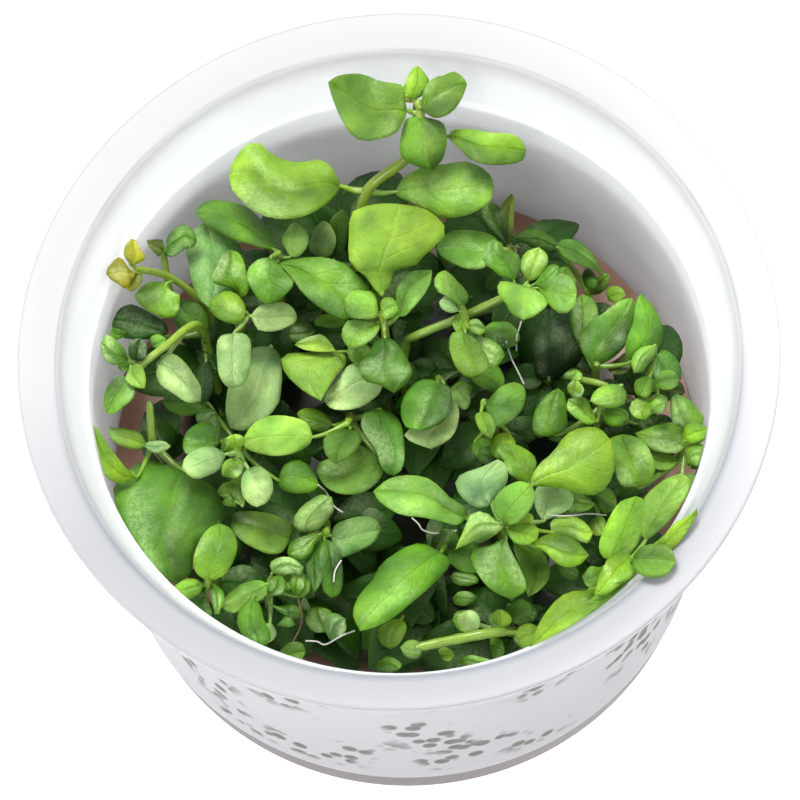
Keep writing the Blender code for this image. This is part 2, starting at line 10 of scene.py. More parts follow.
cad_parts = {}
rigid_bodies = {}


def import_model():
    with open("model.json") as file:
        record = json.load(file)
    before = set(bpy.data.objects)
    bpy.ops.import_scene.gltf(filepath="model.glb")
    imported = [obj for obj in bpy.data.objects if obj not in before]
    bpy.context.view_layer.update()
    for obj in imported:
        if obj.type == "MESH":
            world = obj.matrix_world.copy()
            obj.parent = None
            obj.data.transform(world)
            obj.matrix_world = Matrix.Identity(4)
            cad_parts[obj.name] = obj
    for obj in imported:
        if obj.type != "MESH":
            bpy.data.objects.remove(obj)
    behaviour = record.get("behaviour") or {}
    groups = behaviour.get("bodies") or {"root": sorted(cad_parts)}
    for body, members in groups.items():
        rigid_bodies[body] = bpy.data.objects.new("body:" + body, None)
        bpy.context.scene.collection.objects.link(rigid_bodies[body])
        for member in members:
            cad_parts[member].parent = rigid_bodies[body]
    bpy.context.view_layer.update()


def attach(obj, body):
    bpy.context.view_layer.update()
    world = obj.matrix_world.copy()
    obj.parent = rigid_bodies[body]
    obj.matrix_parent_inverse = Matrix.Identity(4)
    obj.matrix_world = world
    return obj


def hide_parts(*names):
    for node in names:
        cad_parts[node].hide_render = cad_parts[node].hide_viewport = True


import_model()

MM = 0.001

# Cup, sleeve and gel, the sizes of their solids
RIM_R = 50.0
RIM_H = 61.2
MOUTH_R = 44.75
MOUTH_H = 59.5
STEP_R = 43.0
STEP_H = 51.4
STEP_DROP = 0.4
WALL_TOP_R = 42.3
BASE_R = 40.9
WALL = 0.8
FLANGE = 1.0
FLOOR = 1.2
CORNER = 1.5
GAP = 0.3
LABEL_LOW = 7.6
LABEL_HIGH = 45.7
LABEL_THICK = 0.35
GEL_TOP = 24.0
GEL_EDGE = 25.6
ROOT_DEPTH = 8.0

# Steps round the axis and round a corner, and a sharp edge's angle in degrees
ROUND = 160
CORNER_STEPS = 4
SHARP = 32

# Heights where the look of cup and sleeve changes
FOOT_BAND = 6.6
PRINT_LOW = 10.0
GLOW_FROM = 20.0
PRINT_HIGH = 39.0
SLOPE_FROM = 50.0
FLANGE_FROM = 55.5
GLOW_TO = 59.0

# Gel farther than this from the axis isn't painted with the plants' shade
BRIGHT_GEL = 30.5

# The leaves were laid out on a sheet at canopy height as seen from EYE.
# One that sits higher or lower moves along its own line of sight.
EYE = Vector((-0.2, -200.2, 501.9))
TILT = math.radians(66.4)
ROLL = math.radians(-4.25)
FOCAL = 3704.0
CENTRE = 400
CANOPY = 45.0
LEAF_THICK = 0.5
PETIOLE = 0.45
STEM_BOW = 0.05
TIP = 0.35
SETTLE_STEP = 0.5
SETTLE_MOST = 22
WALL_CLEAR = 0.2
ROOT_THICK = 0.11
OWN_AREA = 55.0
LARGE_SEGMENTS = 4
MIDDLE_AREA = 34.0
MIDDLE_SEGMENTS = 3
SMALL_SEGMENTS = 2
LETTERS = "abcdefghijk"

# Camera and lights, in metres but for the lens
VIEW_DISTANCE = 0.5
LENS = 166.7
LIT_AT = Vector((0, 0, 0.045))

# Outline of a blade by form: powers of the distance from its base and tip
FORMS = {"oval": (0.5, 0.5), "round": (0.38, 0.38), "spoon": (0.8, 0.32), "lance": (0.5, 0.8)}

# Leaf colours, linear. Dark and low are near-black greens that paint the shade of leaves low in the canopy
# and in its gaps.
TONES = {
    "lime": (0.185, 0.385, 0.016),
    "fresh": (0.160, 0.345, 0.026),
    "spring": (0.235, 0.460, 0.045),
    "mid": (0.096, 0.250, 0.011),
    "deep": (0.050, 0.150, 0.008),
    "dark": (0.010, 0.044, 0.002),
    "low": (0.015, 0.062, 0.002),
    "grey": (0.150, 0.310, 0.058),
    "pale": (0.300, 0.490, 0.150),
    "gold": (0.195, 0.395, 0.026),
    "yellow": (0.310, 0.320, 0.015),
    "olive": (0.095, 0.150, 0.012),
    "stem": (0.230, 0.370, 0.035),
    "old": (0.095, 0.222, 0.016),
}

# Sheet x, y and reach of the spots where gel or wall shows past the lower leaves
OPEN_SPOTS = [
    (28.5, 15.2, 4.2),
    (-35.5, 1.5, 2.6),
    (-40.0, -11.5, 3.2),
    (-27.5, 18.5, 2.2),
    (20.5, 27.5, 4.6),
]

# Each shoot: name, stem radius, foot on the gel, stem points up to its tip
# (sheet x, sheet y, height), then its leaves: base x, y, tip x, y on the
# sheet, base and tip height, width, form, roll in degrees, arch, colour.
SHOOTS = [
    ("far", 0.85, (-6.5, 22), [(-2.6, 31.1, 50), (3.6, 36.3, 54), (5.6, 42.6, 57.5), (5.2, 44.8, 58.5)], [
        (4.6, 44.6, -6.2, 45.3, 58.4, 59.2, 10.3, "round", 0, 1.0, "old"),
        (5.8, 44.9, 12.2, 46.0, 58.6, 59.6, 7.0, "round", 0, 0.6, "old"),
        (5.6, 42.0, 6.1, 34.0, 57.6, 55.0, 6.5, "oval", 0, 1.0, "old"),
        (9.1, 38.9, 19.8, 35.9, 54.5, 54.0, 5.2, "oval", 0, 0.5, "lime"),
        (2.2, 31.8, 15.0, 31.2, 50.5, 51.5, 8.5, "oval", 0, 0.8, "fresh"),
        (-5.8, 32.0, -21.5, 35.4, 50.5, 54.0, 11.0, "spoon", 0, 1.0, "lime"),
        (5.2, 45.2, 5.7, 49.6, 58.8, 60.4, 4.0, "oval", 0, 0.3, "lime"),
    ]),
    ("back", 0.8, (-4, 13), [(-2.5, 15.5, 45), (-1.8, 17.5, 50)], [
        (-2.0, 16.5, 2.5, 28.5, 50.5, 54.5, 11.8, "round", 0, 1.0, "gold"),
    ]),
    ("left_back", 0.8, (-16, 17), [(-15.5, 20.0, 44), (-15.3, 22.8, 49)], [
        (-15.6, 22.9, -26.1, 30.4, 48.5, 50.0, 5.4, "oval", -20, 0.5, "mid"),
        (-15.6, 22.4, -16.5, 15.0, 50.0, 49.0, 6.4, "round", 0, 1.2, "mid"),
        (-14.6, 22.4, -5.8, 13.5, 48.0, 47.5, 6.9, "oval", 0, 0.8, "mid"),
        (-14.6, 23.4, -12.2, 28.0, 48.5, 50.5, 2.8, "oval", 0, 0.3, "grey"),
    ]),
    ("back_row", 0.7, (-9, 17), [(-9, 20, 40), (-8.6, 21.0, 43)], [
        (-9.0, 21.3, -9.0, 28.0, 42.0, 46.0, 3.6, "oval", 0, 0.4, "pale"),
        (-7.8, 21.0, -6.0, 28.5, 41.5, 44.5, 3.2, "oval", 0, 0.4, "deep"),
        (-10.0, 21.0, -12.0, 26.0, 41.0, 43.0, 3.0, "oval", 0, 0.4, "deep"),
    ]),
    ("left_wall", 0.8, (-22, 10), [(-21.0, 12.0, 40), (-20.0, 13.6, 47)], [
        (-20.6, 15.4, -21.6, 24.2, 46.5, 50.0, 4.7, "oval", 0, 0.8, "mid"),
        (-24.6, 15.2, -24.0, 27.5, 45.0, 47.5, 7.6, "round", 0, 0.6, "grey"),
        (-20.2, 13.8, -25.4, 15.9, 48.0, 48.5, 4.6, "round", 0, 0.8, "fresh"),
        (-19.6, 13.2, -13.1, 13.1, 48.0, 47.5, 4.2, "oval", 0, 0.8, "pale"),
        (-21.8, 12.1, -22.3, 3.0, 50.0, 49.5, 4.8, "round", 0, 1.0, "pale"),
    ]),
    ("yellow", 0.6, (-26, 11), [(-25.5, 15.0, 42), (-30.0, 20.0, 48), (-34.8, 22.0, 53)], [
        (-34.6, 22.4, -35.3, 26.8, 53, 54.5, 2.9, "oval", 0, 0.3, "yellow"),
        (-34.8, 22.0, -38.6, 21.4, 53, 53.5, 3.2, "oval", 0, 0.4, "yellow"),
        (-30.4, 19.6, -32.0, 13.6, 48.8, 48.0, 6.0, "round", 0, 0.7, "lime"),
    ]),
    ("olive", 0.6, (-28.5, 13), [(-30.6, 19.0, 44), (-31.2, 25.4, 49)], [
        (-31.0, 25.5, -26.3, 26.2, 49, 49.5, 4.4, "oval", 0, 0.4, "deep"),
    ]),
    ("left", 0.65, (-25, 8), [(-27.0, 12.8, 46), (-31.5, 9.9, 50), (-36.2, 6.4, 51.5)], [
        (-32.0, 8.0, -27.0, 1.3, 49.0, 48.5, 4.3, "oval", 0, 0.7, "pale"),
        (-32.2, 12.4, -38.0, 14.6, 45.0, 46.5, 5.4, "round", 0, 0.6, "low"),
        (-36.4, 8.0, -40.0, 11.3, 51.5, 52.5, 3.4, "oval", 0, 0.5, "mid"),
        (-36.0, 7.4, -35.2, 11.4, 51.8, 53.2, 2.8, "oval", 0, 0.4, "low"),
        (-36.5, 5.4, -39.8, 0.8, 51.0, 50.0, 4.0, "oval", 0, 0.5, "fresh"),
    ]),
    ("left_low", 0.65, (-32, -1), [(-33.7, -4.0, 44), (-33.9, 2.0, 47)], [
        (-28.8, -9.8, -29.0, -24.2, 43.5, 46.0, 12.8, "round", 0, 1.4, "deep"),
        (-36.0, -9.0, -41.0, -1.4, 46.0, 50.5, 3.8, "lance", 20, 0.8, "lime"),
        (-34.6, -4.2, -39.3, -1.4, 46.0, 48.0, 2.7, "oval", 0, 0.4, "fresh"),
    ]),
    ("left_dark", 0.7, (-20, 3), [(-18.5, 5.0, 38), (-17.5, 6.5, 42)], [
        (-16.8, 8.6, -23.3, -2.6, 42.5, 43.0, 8.2, "round", 0, 0.8, "pale"),
        (-19.0, 5.0, -25.8, 7.0, 37.0, 38.0, 3.0, "oval", 0, 0.4, "deep"),
    ]),
    ("left_mid", 0.65, (-21, -5), [(-22.0, -5.6, 40), (-22.6, -6.4, 47)], [
        (-23.8, -6.6, -29.8, -8.4, 48.5, 49.0, 4.6, "oval", 0, 0.8, "pale"),
        (-24.6, -4.4, -29.6, -4.0, 45.5, 46.0, 4.6, "round", 0, 0.6, "deep"),
        (-22.0, -6.8, -20.5, -14.2, 46.5, 48.0, 4.3, "oval", 0, 0.6, "pale"),
        (-17.4, -10.8, -11.6, -12.6, 43.5, 43.5, 4.9, "oval", 0, 0.8, "mid"),
    ]),
    ("left_front", 0.65, (-26, -19), [(-27.0, -24.0, 42), (-27.3, -25.0, 49)], [
        (-26.9, -24.4, -25.2, -16.2, 50.5, 52.5, 5.9, "oval", 0, 0.9, "lime"),
        (-24.6, -16.3, -15.6, -19.2, 39.0, 40.0, 6.0, "oval", 0, 1.2, "spring"),
        (-28.0, -25.0, -31.0, -25.0, 48.0, 48.5, 2.7, "oval", 0, 0.3, "low"),
        (-27.4, -25.8, -26.6, -29.0, 47.0, 45.5, 3.2, "oval", 0, 0.4, "mid"),
    ]),
    ("front_left", 0.7, (-18, -22), [(-18.8, -25.0, 40), (-19.3, -26.4, 45)], [
        (-20.0, -25.6, -25.5, -27.7, 45.5, 46.0, 3.8, "oval", 0, 0.4, "spring"),
        (-21.4, -27.4, -21.7, -34.0, 46.5, 46.0, 4.1, "round", 0, 0.6, "mid"),
        (-19.0, -28.3, -14.8, -29.6, 44.0, 43.5, 4.5, "round", 0, 0.5, "mid"),
        (-18.4, -25.4, -14.0, -22.6, 45.5, 47.0, 2.6, "oval", 0, 0.6, "grey"),
    ]),
    ("front_mid", 0.75, (-11, -14), [(-11.2, -17.6, 38), (-11.2, -19.2, 42)], [
        (-13.2, -18.2, -9.8, -14.3, 41.0, 43.0, 4.8, "round", 0, 0.6, "grey"),
        (-10.5, -19.5, -3.7, -18.7, 42.0, 43.0, 4.6, "oval", 0, 0.7, "grey"),
        (-11.6, -20.0, -11.1, -28.0, 43.0, 42.0, 3.4, "round", 0, 0.7, "deep"),
        (-13.0, -20.2, -13.9, -28.0, 41.0, 40.0, 2.9, "round", 0, 0.5, "deep"),
        (-12.0, -19.2, -16.6, -23.0, 44.0, 44.0, 3.2, "oval", 0, 0.5, "mid"),
    ]),
    ("middle", 0.7, (-2, 6), [(-1.5, 8.6, 44), (-1.7, 12.4, 49)], [
        (-1.6, 8.6, -1.2, 0.4, 48.0, 48.0, 7.7, "round", 0, 0.8, "deep"),
        (-2.3, 11.0, -7.7, 8.7, 47.5, 47.0, 4.2, "oval", 0, 0.6, "spring"),
        (0.6, 11.8, 5.6, 18.6, 47.0, 49.5, 4.3, "oval", 0, 0.6, "spring"),
        (-2.4, 4.6, -9.8, -0.2, 43.0, 43.5, 7.4, "round", 0, 0.9, "pale"),
        (-9.8, 8.6, -12.9, 3.0, 43.0, 46.0, 7.4, "round", 0, 0.7, "spring"),
        (-2.4, 13.2, -7.1, 14.3, 49.0, 50.0, 4.5, "round", 0, 0.6, "spring"),
    ]),
    ("crossing", 0.7, (1.6, 4),
     [(1.2, 7.6, 42), (2.8, 8.8, 45), (9.0, 11.0, 47), (14.0, 13.1, 49), (18.4, 14.8, 52)], [
        (20.0, 14.2, 24.3, 11.3, 51.5, 53.0, 5.4, "round", 0, 0.4, "mid"),
        (18.2, 14.8, 16.8, 10.2, 52.6, 53.0, 6.6, "round", 0, 0.6, "spring"),
        (17.8, 14.9, 19.4, 20.4, 51.5, 53.5, 3.2, "oval", 0, 0.4, "spring"),
        (18.9, 15.0, 22.4, 19.0, 51.5, 53.0, 3.0, "oval", 0, 0.3, "mid"),
        (16.6, 15.9, 13.3, 21.8, 51.0, 52.0, 3.9, "oval", 0, 0.5, "mid"),
    ]),
    ("kidney", 0.7, (9, 5), [(9.8, 8.4, 46), (8.9, 13.2, 51)], [
        (9.2, 8.6, 10.2, 1.8, 50.0, 50.0, 5.5, "round", 0, 0.5, "old"),
        (10.2, 8.2, 14.6, 4.0, 49.0, 49.5, 4.6, "spoon", 0, 0.5, "mid"),
        (8.9, 13.2, 6.4, 18.6, 51.5, 53.0, 3.6, "oval", 0, 0.3, "old"),
    ]),
    ("right_back", 0.75, (18, 16), [(16.6, 19.4, 40), (15.6, 20.6, 44)], [
        (13.8, 21.2, 7.0, 20.4, 45.0, 46.5, 5.6, "round", 0, 0.6, "mid"),
        (16.5, 20.8, 17.4, 29.2, 43.5, 48.0, 3.6, "oval", 0, 0.3, "olive"),
        (16.0, 20.8, 14.2, 28.0, 42.0, 44.0, 3.0, "oval", 0, 0.3, "deep"),
        (17.0, 20.8, 25.0, 20.6, 42.0, 41.6, 3.6, "oval", 0, 0.4, "deep"),
    ]),
    ("right_thin", 0.6, (25, 9), [(26.5, 13.0, 38), (24.2, 18.0, 42.5)], [
        (24.2, 19.8, 28.5, 15.5, 44.2, 43.2, 3.2, "oval", 0, 0.5, "mid"),
    ]),
    ("right_dark", 0.75, (19, 2), [(19.5, 1.0, 34), (20.0, 0.8, 36)], [
        (20.0, 0.8, 20.8, 11.3, 37.5, 40.0, 9.6, "round", 0, 1.4, "dark"),
    ]),
    ("right", 0.75, (27, 0), [(26.4, 1.0, 38), (26.6, 2.6, 44)], [
        (26.2, 3.6, 32.3, 12.2, 44.5, 46.5, 6.6, "oval", 0, 0.9, "mid"),
        (29.6, 3.0, 33.8, 12.8, 44.0, 47.0, 5.3, "oval", 0, 0.9, "mid"),
        (25.4, 4.5, 25.7, 13.2, 41.0, 43.0, 3.8, "oval", 0, 0.5, "mid"),
    ]),
    ("right_wall", 0.65, (31, -1), [(33.4, 0.0, 42), (34.4, 1.8, 46)], [
        (34.8, 2.8, 37.6, -0.6, 47.0, 47.5, 4.7, "round", 0, 0.5, "deep"),
        (34.4, 4.6, 31.5, 0.7, 48.0, 48.0, 3.6, "oval", 0, 0.4, "spring"),
        (34.4, -2.6, 31.2, -5.6, 46.0, 46.5, 3.7, "round", 0, 0.4, "lime"),
    ]),
    ("right_rim", 0.65, (32, -8), [(36.5, -12.0, 42), (38.0, -9.2, 47)], [
        (38.0, -8.0, 36.6, -2.6, 48.0, 49.0, 5.0, "round", 0, 0.5, "mid"),
        (37.4, -10.4, 31.0, -8.0, 45.5, 45.0, 4.5, "oval", 0, 0.6, "gold"),
        (31.0, -15.6, 28.8, -8.2, 46.0, 48.0, 6.3, "round", 0, 1.0, "mid"),
    ]),
    ("right_small", 0.55, (25, -4), [(26.4, -4.0, 42), (27.8, -1.0, 47), (23.4, 0.8, 49)], [
        (29.6, -1.0, 25.8, -2.9, 48.5, 48.5, 3.4, "round", 0, 0.4, "spring"),
        (26.0, -5.4, 22.7, -2.6, 46.0, 46.5, 4.0, "oval", 0, 0.5, "mid"),
        (20.4, -7.2, 21.3, -0.6, 43.5, 45.5, 5.4, "round", 0, 0.8, "mid"),
    ]),
    ("centre", 0.75, (5, -3), [(5.2, 0.5, 40), (5.2, 2.2, 43)], [
        (4.4, 1.8, 2.3, -5.2, 46.5, 47.5, 6.6, "round", 0, 0.4, "deep"),
        (6.6, 0.0, 3.8, -8.0, 45.0, 45.5, 7.2, "round", 0, 0.4, "pale"),
    ]),
    ("centre_left", 0.7, (-7, -1), [(-7.0, -2.4, 38), (-7.4, -3.4, 43)], [
        (-2.6, -1.6, -1.5, -11.6, 41.5, 43.5, 5.9, "round", 0, 0.8, "deep"),
        (-12.4, -5.2, -21.8, -5.5, 43.6, 44.2, 6.0, "oval", 0, 0.9, "spring"),
        (-7.3, -5.0, -9.3, -9.6, 43.0, 44.5, 4.9, "round", 0, 0.8, "old"),
        (-3.0, -9.0, -12.2, -12.4, 40.0, 40.5, 6.2, "round", 0, 0.9, "fresh"),
    ]),
    ("right_mid", 0.65, (13, -5), [(12.0, -3.0, 42), (11.0, -1.6, 46)], [
        (11.2, -1.8, 17.0, -0.6, 46.5, 46.5, 5.6, "round", 0, 0.8, "old"),
        (10.8, -2.4, 12.3, -6.1, 47.0, 47.0, 2.7, "oval", 0, 0.4, "fresh"),
    ]),
    ("front_star", 0.8, (12, -17), [(12.2, -18.6, 42), (12.0, -19.4, 51)], [
        (11.6, -18.0, 10.4, -10.4, 51.5, 53.0, 6.9, "round", 0, 0.4, "pale"),
        (12.4, -19.0, 16.6, -14.8, 52.0, 53.5, 5.2, "round", 0, 0.8, "fresh"),
        (7.4, -18.4, -4.6, -13.7, 47.5, 48.5, 6.1, "oval", 0, 0.8, "fresh"),
        (12.4, -21.0, 12.6, -30.4, 50.0, 49.0, 7.6, "round", 0, 0.8, "mid"),
        (15.6, -22.8, 23.4, -24.2, 47.4, 48.4, 5.0, "round", 0, 0.5, "lime"),
        (16.5, -14.6, 27.8, -9.6, 51.0, 52.5, 9.0, "oval", 0, 1.0, "lime"),
        (17.6, -19.6, 20.6, -15.0, 46.0, 46.5, 5.6, "round", 0, 0.6, "pale"),
        (12.2, -19.6, 6.2, -22.8, 51.5, 52.5, 4.2, "oval", 0, 0.3, "spring"),
        (12.6, -20.0, 16.0, -22.8, 51.0, 51.5, 3.0, "oval", 0, 0.3, "lime"),
    ]),
    ("front", 0.75, (0, -27), [(3.6, -22.6, 40), (4.2, -22.0, 43)], [
        (3.8, -23.2, -8.2, -32.6, 45.5, 47.5, 7.2, "lance", 0, 1.0, "mid"),
        (4.4, -22.2, 9.2, -25.6, 42.0, 42.0, 4.2, "oval", 0, 0.5, "deep"),
        (0.4, -28.6, -2.8, -36.0, 40.5, 41.0, 3.6, "oval", 0, 0.4, "lime"),
    ]),
    ("front_low", 0.8, (14, -28), [(10.7, -34.6, 43), (5.0, -35.2, 44), (-0.6, -36.0, 44.5)], [
    ]),
    ("rim_shoot", 0.85, (24, -22), [(27.0, -26.0, 44), (28.2, -26.2, 53), (28.8, -26.0, 57.5)], [
        (25.6, -25.6, 30.4, -17.3, 55.0, 57.0, 5.5, "oval", 0, 0.8, "lime"),
        (31.0, -23.4, 36.6, -14.6, 55.5, 57.5, 5.8, "oval", 0, 0.8, "spring"),
        (30.6, -24.8, 36.2, -20.4, 58.4, 61.2, 3.4, "lance", 0, 0.6, "lime"),
        (26.2, -27.0, 15.8, -33.8, 52.5, 54.0, 6.0, "oval", 0, 0.8, "lime"),
        (29.4, -26.0, 34.0, -25.8, 59.6, 61.6, 3.6, "round", 0, 0.3, "fresh"),
        (28.4, -26.0, 25.4, -28.6, 57.0, 58.0, 3.8, "oval", 0, 0.4, "lime"),
        (28.0, -26.4, 22.5, -26.8, 56.0, 56.5, 2.3, "oval", 0, 0.3, "mid"),
    ]),
]

# Small leaves and buds that grow beside them, laid out the same way
SMALL_LEAVES = [
    (4.9, 45.0, 2.8, 46.3, 58.8, 60.0, 2.6, "oval", 0, 0.3, "yellow"),
    (-34.8, 21.7, -36.0, 18.7, 53, 52.5, 2.5, "oval", 0, 0.4, "yellow"),
    (-31.4, 25.3, -33.4, 25.4, 49, 49.5, 2.8, "oval", 0, 0.3, "olive"),
    (-36.0, 6.3, -34.2, 3.8, 52.0, 52.0, 2.6, "oval", 0, 0.3, "spring"),
    (-33.6, -4.6, -31.0, -5.0, 46.0, 46.5, 1.9, "oval", 0, 0.3, "pale"),
    (-22.6, -6.0, -22.9, -3.8, 47.5, 48.5, 2.6, "round", 0, 0.3, "lime"),
    (-22.4, -7.2, -22.7, -10.2, 47.0, 46.5, 3.0, "round", 0, 0.3, "fresh"),
    (-28.0, -25.0, -32.0, -25.8, 49.0, 50.0, 2.7, "oval", 0, 0.3, "lime"),
    (-26.4, -25.2, -26.3, -29.2, 49.0, 48.5, 1.9, "lance", 0, 0.2, "mid"),
    (-18.4, -26.0, -15.6, -25.0, 44.5, 45.5, 2.6, "oval", 0, 0.4, "mid"),
    (-1.6, 12.8, 0.3, 13.6, 49.0, 50.0, 3.2, "round", 0, 0.5, "fresh"),
    (8.8, 12.0, 6.4, 13.4, 50.5, 51.5, 2.5, "oval", 0, 0.3, "pale"),
    (9.8, 9.6, 12.3, 9.0, 50.5, 51.5, 2.6, "round", 0, 0.3, "fresh"),
    (26.5, 13.2, 29.4, 15.8, 39.5, 41.0, 2.2, "oval", 0, 0.3, "lime"),
    (33.6, 0.2, 32.2, -2.4, 47.0, 48.0, 2.7, "round", 0, 0.4, "lime"),
    (38.0, -9.4, 40.4, -8.0, 48.0, 49.0, 2.6, "oval", 0, 0.3, "lime"),
    (37.6, -13.4, 39.8, -11.2, 46.5, 48.0, 2.6, "oval", 0, 0.3, "olive"),
    (23.6, 0.4, 23.3, -2.0, 49.0, 48.5, 1.8, "oval", 0, 0.3, "lime"),
    (26.8, -4.8, 30.0, -5.4, 46.0, 46.5, 2.7, "oval", 0, 0.4, "mid"),
    (12.6, -19.6, 16.2, -18.8, 51.5, 52.5, 2.6, "oval", 0, 0.3, "lime"),
    (-0.2, -36.0, -2.7, -36.3, 44.5, 44.5, 2.4, "round", 0, 0.3, "grey"),
    (10.6, -34.2, 10.8, -31.6, 43.5, 45.0, 2.6, "oval", 0, 0.3, "lime"),
    (13.5, -22.0, 17.5, -29.0, 44.0, 44.0, 5.0, "oval", 0, 0.6, "mid"),
    (18.5, -21.5, 23.5, -21.0, 46.0, 46.5, 3.8, "oval", 0, 0.4, "spring"),
    (16.3, -14.8, 12.0, -8.5, 46.0, 47.0, 5.0, "oval", 0, 0.6, "lime"),
    (36.0, -17.5, 39.0, -15.0, 46.0, 47.0, 4.0, "oval", 0, 0.4, "grey"),
    (25.5, -27.8, 22.5, -30.5, 50.0, 50.5, 2.0, "oval", 0, 0.3, "lime"),
    (16.0, -35.0, 12.5, -36.0, 44.0, 44.5, 3.0, "oval", 0, 0.4, "lime"),
    (12.0, -31.0, 14.6, -33.4, 43.0, 43.5, 3.5, "oval", 0, 0.4, "deep"),
    (5.4, -32.0, 7.8, -34.0, 42.5, 43.0, 3.0, "oval", 0, 0.4, "pale"),
    (5.5, -20.0, 3.0, -23.5, 42.0, 42.0, 4.0, "oval", 0, 0.4, "deep"),
    (-9.3, -3.5, -14.0, -1.0, 41.0, 41.5, 3.0, "oval", 0, 0.4, "lime"),
    (6.6, -0.6, 9.6, 0.6, 41.0, 41.5, 3.0, "oval", 0, 0.4, "mid"),
    (10.0, 5.0, 13.5, 0.0, 44.0, 44.0, 4.0, "oval", 0, 0.4, "mid"),
    (9.4, -7.4, 11.8, -9.8, 42.0, 42.5, 3.0, "oval", 0, 0.4, "mid"),
    (14.0, -6.6, 12.2, -10.0, 44.0, 44.5, 3.4, "oval", 0, 0.4, "lime"),
    (12.0, 9.0, 16.5, 7.0, 43.0, 43.0, 4.0, "oval", 0, 0.4, "mid"),
    (34.0, -2.0, 38.0, -2.0, 44.0, 45.0, 3.0, "oval", 0, 0.4, "olive"),
    (31.0, -6.6, 34.0, -5.4, 43.0, 43.5, 3.4, "oval", 0, 0.4, "deep"),
    (24.4, -16.0, 27.2, -18.2, 44.0, 44.5, 3.0, "oval", 0, 0.4, "mid"),
    (-26.0, 11.0, -29.5, 16.5, 43.0, 44.0, 4.5, "oval", 0, 0.6, "deep"),
    (-26.0, 7.5, -26.5, 1.5, 44.0, 44.0, 2.6, "oval", 0, 0.4, "dark"),
    (-26.0, 1.0, -32.0, 2.0, 42.0, 43.0, 4.0, "oval", 0, 0.4, "deep"),
    (-21.5, -14.0, -25.5, -12.3, 43.0, 43.5, 3.0, "oval", 0, 0.4, "spring"),
    (-19.4, -31.2, -20.8, -33.6, 43.0, 43.5, 2.5, "oval", 0, 0.3, "pale"),
    (-15.6, -27.6, -14.2, -25.4, 44.0, 45.0, 2.2, "oval", 0, 0.3, "fresh"),
    (-0.6, -29.4, 1.8, -32.6, 41.0, 41.0, 3.6, "oval", 0, 0.4, "deep"),
    (37.4, -9.6, 39.4, -8.0, 47.0, 47.6, 3.0, "round", 0, 0.4, "lime"),
]

# Fine roots on and between the leaves: sheet x, y along each, then its colour
ROOTS = [
    ([(-11.9, -12.0), (-10.9, -13.2), (-10.0, -15.2), (-8.9, -16.2)], "white"),
    ([(-9.5, -23.0), (-10.4, -24.4), (-10.7, -26.0)], "white"),
    ([(-8.4, -33.0), (-10.2, -33.6), (-12.3, -34.6), (-13.4, -34.1), (-14.9, -33.9)], "white"),
    ([(-15.6, -27.5), (-15.2, -30.0), (-15.5, -32.0), (-16.5, -33.8)], "brown"),
    ([(14.7, 6.9), (15.2, 4.4), (16.0, 2.2), (16.6, 0.4)], "white"),
    ([(17.0, 9.7), (16.2, 7.4), (16.0, 5.4)], "white"),
    ([(18.3, -18.8), (21.0, -19.1), (23.6, -19.0), (26.0, -19.4)], "white"),
    ([(0.2, -17.7), (1.0, -18.6), (1.6, -19.6), (3.4, -20.2), (6.0, -20.0)], "white"),
]


